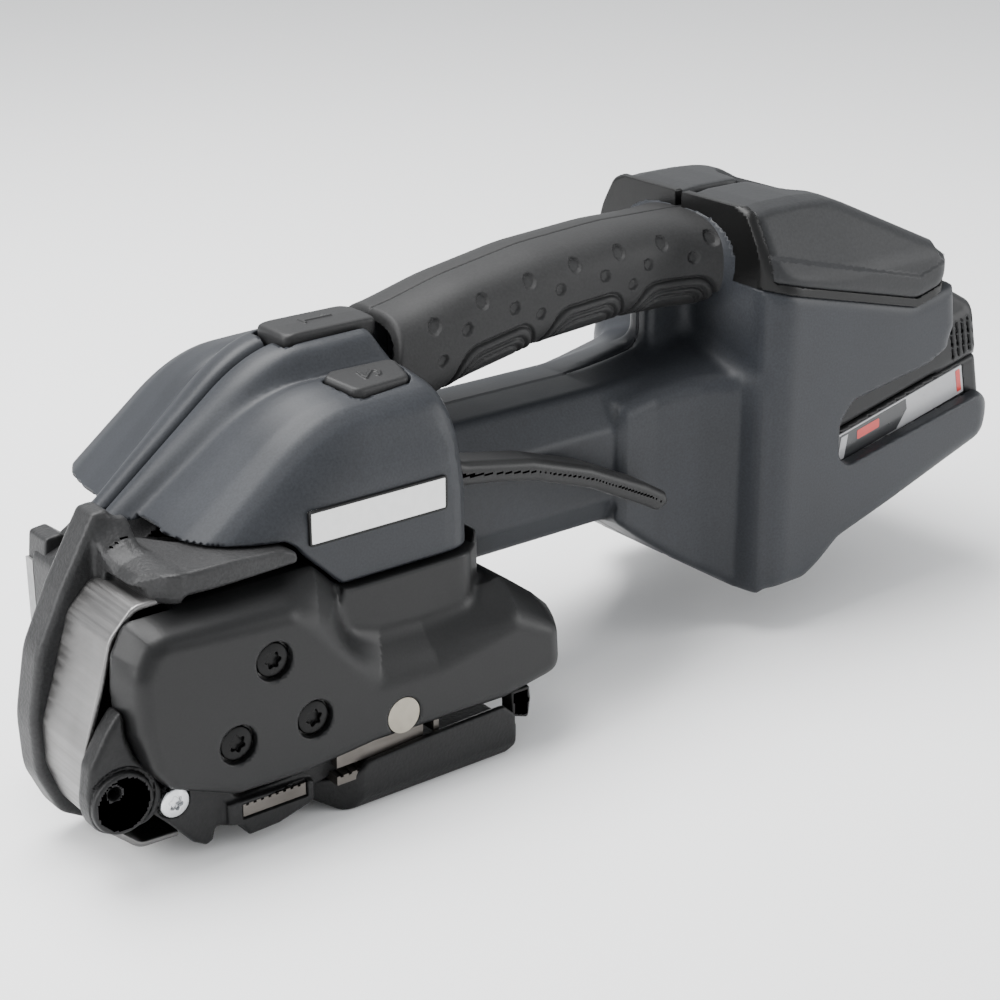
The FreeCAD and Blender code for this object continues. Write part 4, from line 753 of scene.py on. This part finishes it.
def screw_places():
    """Middles of the three cover screws, read from the node's vertices."""
    points = np.array([v.co for v in NODES["side_cover_screws"].data.vertices]) * 1000
    wheel = middle("tension_wheel")
    found = []
    for angle in (90, 210, 330):
        away = np.array([wheel.x + 13 * math.cos(math.radians(angle)), wheel.z + 13 * math.sin(math.radians(angle))])
        near = points[np.hypot(points[:, 0] - away[0], points[:, 2] - away[1]) < 6]
        found.append(((near[:, 0].min() + near[:, 0].max()) / 2, (near[:, 2].min() + near[:, 2].max()) / 2))
    return found


COVER_SCREWS = screw_places()
FAR_SCREWS = [(-98, 54), (-98, 19.5), (-55, 53)]


def lobed(u, v, w, centre, head, low, high, turn=0.0):
    """Button head with a six-lobe socket; low is the seat and high the top along w, which may point either way."""
    du, dv = u - centre[0], v - centre[1]
    radius = np.hypot(du, dv)
    angle = np.arctan2(dv, du) + turn
    sign = 1 if high > low else -1
    top = (w - high) * sign + (radius / head) ** 2 * 0.5
    body = both(both(radius - head, top, 0.5), (low - w) * sign, 0.2)
    socket = both(radius - head * 0.44 * (1 + 0.17 * np.cos(6 * angle)), (high - sign * 1.3 - w) * sign)
    return without(body, socket, 0.25)


def add_screw(name, centre, head, low, high, body, slot, turn, replaced=()):
    bottom, top = min(low, high), max(low, high)
    shell(name, lambda x, y, z: lobed(x, z, y, centre, head, low, high, turn),
          (centre[0] - head, bottom, centre[1] - head), (centre[0] + head, top, centre[1] + head), 0.22, body, slot,
          replaced)


def far_cover(x, y, z):
    """Far side cover: a shallow tray with a slanted front corner and three sunk screws."""
    side_shape = inside([(-129.5, 22, 5), (-122, 12, 5), (-58, 12, 6), (-48, 22, 6), (-48, 61.2, 3),
                         (-129.5, 61.2, 4)])
    slant = inside([(-129.6, 20), (-129.6, 27, 3), (-104, 54, 6), (-48, 54, 4), (-48, 20)])
    skin = both(both(side_shape(x, z), slab(y, 24, 53.9), 4), slant(x, y), 3)
    skin = without(skin, both(both(side_shape(x, z), slab(y, 10, 53.9)), slant(x, y)) + COVER_WALL)
    for place in FAR_SCREWS:
        skin = without(skin, rod(x, z, y, place, 4.2, 50.6, 60), 0.6)
    return skin


# ---------------------------------------------------------------- rocker, foot and pin

TOE_SCREW = (-145.2, 19.4)


def rocker(x, y, z):
    """Rocker arm: hooked toe with its screw seat, base with a pocket for the toothed plate, and the eye."""
    toe = both(inside([(-150.6, 17.4, 2), (-150.4, 23.4, 3), (-141, 24), (-129, 17), (-126, 13), (-127, 9, 1),
                       (-128.6, 7.6, 1), (-133.6, 7.6, 0.8), (-134.4, 4.4, 0.8), (-136.4, 3.5, 1), (-140, 5.6, 2),
                       (-146, 12.6, 3)])(x, z), slab(y, -48.5, -34), 1.6)
    base = both(inside([(-131, 8), (-127, 7, 1), (-125.2, 3.4, 1), (-116, 3.8, 2), (-105.4, 6.8, 1.5),
                        (-105.2, 12.4, 1), (-108, 13), (-131, 14)])(x, z), slab(y, -50.4, -32), 0.9)
    beam = both(inside([(-131, 9), (-106, 9), (-84, 14), (-72, 19, 4), (-72, 29, 4), (-84, 30, 4), (-90, 19),
                        (-108, 14.5), (-131, 14)])(x, z), slab(y, -48, -36), 0.6)
    pocket = block(x, y, z, (-126.9, -60, 8.6), (-107.4, -48.8, 12.7), 0.3)
    seat = rod(x, z, y, TOE_SCREW, 4.5, -60, -47.6)
    made = without(without(either(either(toe, base, 1.5), beam, 1), pocket, 0.3), seat, 0.3)
    return without(made, rod(x, z, y, (-79.2, 24.1), 5.05, -60, -20))


def foot(x, y, z):
    """Base plate: sloping front, near face over a bottom bevel, lip beside the strap, far part with screws."""
    near = both(inside([(-107, 9.4, 1), (-104.6, 4.4, 1), (-97, 0.2, 3), (-43, 0.1, 2), (-41, 2, 2),
                        (-41, 9.5, 1)])(x, z), slab(y, -53.4, -34), 1.2)
    lip = both(inside([(-98, 8), (-90, 13.6, 3), (-70, 14.8, 6), (-45, 15.4, 2), (-41.4, 12, 2), (-41.4, 8)])(x, z),
               slab(y, -53.4, -50.6), 0.8)
    near = either(near, lip, 0.4)
    near = both(near, (-y - 53.2 + (4.4 - z) * 0.55) * 0.88, 0.8)
    near = both(near, (-y - 53.2 + np.maximum(-x - 92, 0) * 0.7) * 0.8, 1)
    far = both(inside([(-64, 0.1), (-43, 0.1, 2), (-39, 9.4, 1), (-64, 9.4)])(x, z), slab(y, -36, 20), 0.8)
    made = either(near, far, 0.5)
    for place in ((-52, -5), (-52, 12)):
        made = without(made, rod(x, y, z, place, 4.2, -3, 2.5), 0.3)
    return made


# ---------------------------------------------------------------- rear cap, display and battery

CAP_WALL = 2.8
DISPLAY_MIDDLE = (113.5, 123.5)
DISPLAY_TILT = math.radians(25.5)
CAP_SIDE = inside([(63.8, 112.4, 1), (124, 97.7, 14), (142.8, 102.2, 2), (145.4, 104, 1.5), (136.6, 114, 5),
                   (96, 133.4, 16), (85, 134.9, 8), (72, 134.9, 5), (63.8, 133.2, 2)])
CAP_FRONT = inside([(0, 90), (44.2, 90), (44.2, 110, 8), (31, 132.4, 6), (24.5, 134.9, 4), (0, 134.9)])
CAP_PLAN = inside([(61, 0), (61.4, -37, 7), (70, -44.2, 10), (134, -44.4, 8), (147, -33, 6), (147, 0)])


def seam(x):
    """Height of the joint between the rear block and its cap."""
    return np.interp(x, [60, 124, 142, 150], [112.6, 96.9, 101.4, 103])


def cap_outer(x, y, z):
    """The cap's outer skin, filled."""
    s = np.abs(y)
    return both(both(CAP_SIDE(x, z), CAP_FRONT(s, z), 4), CAP_PLAN(x, -s), 3)


def cap(x, y, z):
    """Rear cap: grained shell over a smoother lower band, with a hollow for the display and screw notches."""
    skin = cap_outer(x, y, z)
    skin = skin + 0.7 * np.clip((z - seam(x) - 8.2) / 1.0, 0, 1) * np.clip((142 - x) / 4, 0, 1)
    du, dw = x - DISPLAY_MIDDLE[0], z - DISPLAY_MIDDLE[1]
    u = du * math.cos(DISPLAY_TILT) - dw * math.sin(DISPLAY_TILT)
    w = du * math.sin(DISPLAY_TILT) + dw * math.cos(DISPLAY_TILT)
    hollow = both(inside([(-26, 0), (-22, 17, 6), (6, 23, 6), (20, 23, 5), (22, 0), (20, -23, 5), (6, -23, 6),
                          (-22, -17, 6)])(u, y), slab(w, -4.6, 20))
    skin = without(skin, hollow, 2.4)
    notch = np.sqrt((x - 139) ** 2 + (np.abs(y) - 42) ** 2 + (z - 114) ** 2) - 6.2
    skin = without(skin, notch, 0.8)
    return without(skin, both(cap_outer(x, y, z) + CAP_WALL, w + 8))


def gasket(x, y, z):
    """Black strip in the joint, seen as a fine recessed line along the side, the corner and the front."""
    s = np.abs(y)
    around = both(both(CAP_FRONT(s, z), CAP_PLAN(x, -s), 3), slab(x, 61.6, 143))
    level = both(slab(z - seam(x), -1.4, 1.4), slab(x, 61.6, 142.6))
    upright = both(slab(x, 62.2, 65.2), both(seam(x) - 1 - z, z - 133.4))
    return both(both(slab(around, -4, -0.45), either(level, upright)), z - 133.4)


def pack_lower(x, y, z):
    """Lower case half, with the shallow seat of the label band along each side."""
    u, w = along(x, z)
    body = both(both(slab(u, 0, 96), slab(y, -PACK_SIDE, PACK_SIDE), 3), slab(w, 0, 15.8), 2)
    return without(body, both(both(slab(u, 17.6, 88.4), slab(w, 4.6, 14.9)), slab(np.abs(y), 37, 45)), 0.2)


def pack_upper(x, y, z):
    """Upper case half with its rails, the rounded tail over the release button, and grip ribs."""
    u, w = along(x, z)
    body = both(both(slab(u, 0, 96), slab(y, -PACK_SIDE, PACK_SIDE), 3), slab(w, 16, 32), 3)
    rail = both(both(slab(u, 10, 84), slab(y, -26, 26), 1), slab(w, 28, 46), 1)
    tail = both(both(inside([(76, 30), (79, 41.5, 4), (87, 42, 5), (97.4, 33, 5), (97.4, 14), (76, 14)])(u, w),
                     slab(y, -36.5, 36.5), 4), slab(u, 70, 97.6))
    made = either(either(body, rail), tail, 1.5)
    made = without(made, both(slab(u, 89.5, 110), both(slab(y, -13.6, 13.6), slab(w, 22.4, 30.6), 1)), 0.5)
    rib = both(slab(np.abs(y), 30, 50), slab((u - 86) % 2.6, 0.9, 1.7))
    return without(made, both(both(rib, slab(u, 84, 95)), slab(w, 18, 30)), 0.2)


def printed_field(name, look, depth, points):
    """Thin printed field on the battery's side, given along and across its slide."""
    line = outline(points)
    mesh = bpy.data.meshes.new(name)
    vertices = []
    for level in (-37.5 - depth, -37.45):
        for u, w in line:
            vertices.append(((SLIDE_START[0] + u * math.cos(SLIDE_TILT) - w * math.sin(SLIDE_TILT)) / 1000,
                             level / 1000,
                             (SLIDE_START[1] + u * math.sin(SLIDE_TILT) + w * math.cos(SLIDE_TILT)) / 1000))
    count = len(line)
    faces = [tuple(range(count)), tuple(range(2 * count - 1, count - 1, -1))]
    faces += [(i, i + count, (i + 1) % count + count, (i + 1) % count) for i in range(count)]
    mesh.from_pydata(vertices, [], faces)
    mesh.materials.append(PAINT[look])
    piece = bpy.data.objects.new(name, mesh)
    bpy.context.scene.collection.objects.link(piece)
    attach(piece, "battery")


def add_band():
    """Generic colour fields of the battery's label: dark, silver and red, without any lettering."""
    printed_field("band_dark_field", "band_dark", 0.12, [(19, 5.6), (56, 5.6), (61.5, 10.4), (61.5, 13.9), (19, 13.9)])
    printed_field("band_silver_stripe", "battery_band", 0.2, [(29, 6.2), (32, 6.2), (35, 13.4), (32, 13.4)])
    printed_field("band_red_field", "band_red", 0.2,
                  [(38.5, 9.8, 0.6), (48.5, 9.8, 0.6), (49, 12.8, 0.6), (39, 12.8, 0.6)])
    printed_field("band_red_end", "band_red", 0.12, [(85, 6, 0.3), (87, 6, 0.3), (87, 13.6, 0.3), (85, 13.6, 0.3)])


def label(x, y, z):
    """Blank white plate with rounded corners."""
    return both(inside([(-100.5, 74.3, 0.8), (-57.7, 74.3, 0.8), (-57.7, 83.7, 0.8), (-100.5, 83.7, 0.8)])(x, z),
                slab(y, -44.55, -43.6), 0.1)


def label_border(x, y, z):
    """Thin dark line round the plate."""
    frame_line = inside([(-100.6, 74.2, 1), (-57.6, 74.2, 1), (-57.6, 83.8, 1), (-100.6, 83.8, 1)])(x, z)
    return both(slab(frame_line, -0.75, 0), slab(y, -44.62, -43.7))


def tab(x, y, z):
    """Small black catch under the cover's rear end."""
    return both(inside([(-41.2, 10.4, 1), (-35.4, 8.4, 1), (-34.6, 14), (-35, 18), (-41.4, 18)])(x, z),
                slab(y, -51, -46), 0.8)


def lug(x, y, z):
    """Cast lug on the gear case's far front corner."""
    return both(inside([(-146, 54, 1.5), (-144.6, 68.5, 1.5), (-140, 69, 1.5), (-133, 63.4), (-133, 54)])(x, z),
                slab(y, 14, 23.9), 0.8)


# ---------------------------------------------------------------- everything in its place

add_camera()
add_stage()
dress_frame()
add_housing()
add_grip()
add_buttons()
shell("lever", lever_paddle, (-65, -38, 49), (29, -24, 90), 0.6, "lever", "lever_plastic", ["rocker_lever"])
shell("casting", casting, (-169, -48, 1), (-54, 21, 89), 0.75, "tool", "cast_grey", ["head_frame"])
shell("casting_lug", lug, (-147, 13, 53), (-132, 25, 70), 0.6, "tool", "cast_grey")
shell("guard_strip", guard, (-167, -43, 4), (-140, -19, 73), 0.55, "tool", "steel", ["strap_guard"])
shell("arm", front_arm, (-168.5, -51, 13), (-146, -41, 50), 0.5, "tool", "cast_black", ["front_arm"])
shell("near_cover", cover_with_holes, (-159, -54.2, 14), (-21, -23, 70), 0.75, "tool", "cover_black",
      ["side_cover"])
shell("cover_tab", tab, (-42, -52, 8), (-34, -45, 19), 0.5, "tool", "black_plastic")
shell("far_side_cover", far_cover, (-131, 23, 11), (-47, 54.2, 62), 1.0, "tool", "cover_black", ["far_cover"])
for number, place in enumerate(COVER_SCREWS):
    add_screw("cover_screw_%d" % number, place, 4.6, -51.6, -53.2, "tool", "screw_black", number * 0.4,
              ["side_cover_screws"])
add_screw("toe_screw", TOE_SCREW, 4.0, -47.5, -49.9, "rocker", "steel_bright", 0.3, ["rocker_screw"])
shell("rocker", rocker, (-152, -51, 3), (-71, -31, 31), 0.6, "rocker", "cast_black", ["rocker_arm"])
shell("foot", foot, (-108, -54, 0), (-38, 21, 16), 0.7, "tool", "cast_black", ["base_plate"])
shell("label", label, (-101, -45, 74), (-57, -43.5, 84), 0.4, "tool", "label_white", ["label_plate"])
shell("label_edge", label_border, (-101, -45, 74), (-57, -43.5, 84), 0.3, "tool", "black_plastic")
shell("cap", cap, (61, -45, 96), (148, 45, 136), 0.9, "tool", "cap_plastic", ["rear_cap"])
shell("gasket", gasket, (61, -45, 95), (144, 45, 134), 0.7, "tool", "gasket_rubber", ["cap_gasket"])
shell("pack_lower", pack_lower, (68, -38, 30), (168, 38, 75), 0.9, "battery", "battery_grey",
      ["battery_case_lower"])
shell("pack_upper", pack_upper, (60, -38, 50), (168, 38, 105), 0.9, "battery", "battery_grey",
      ["battery_case_upper"])
add_band()
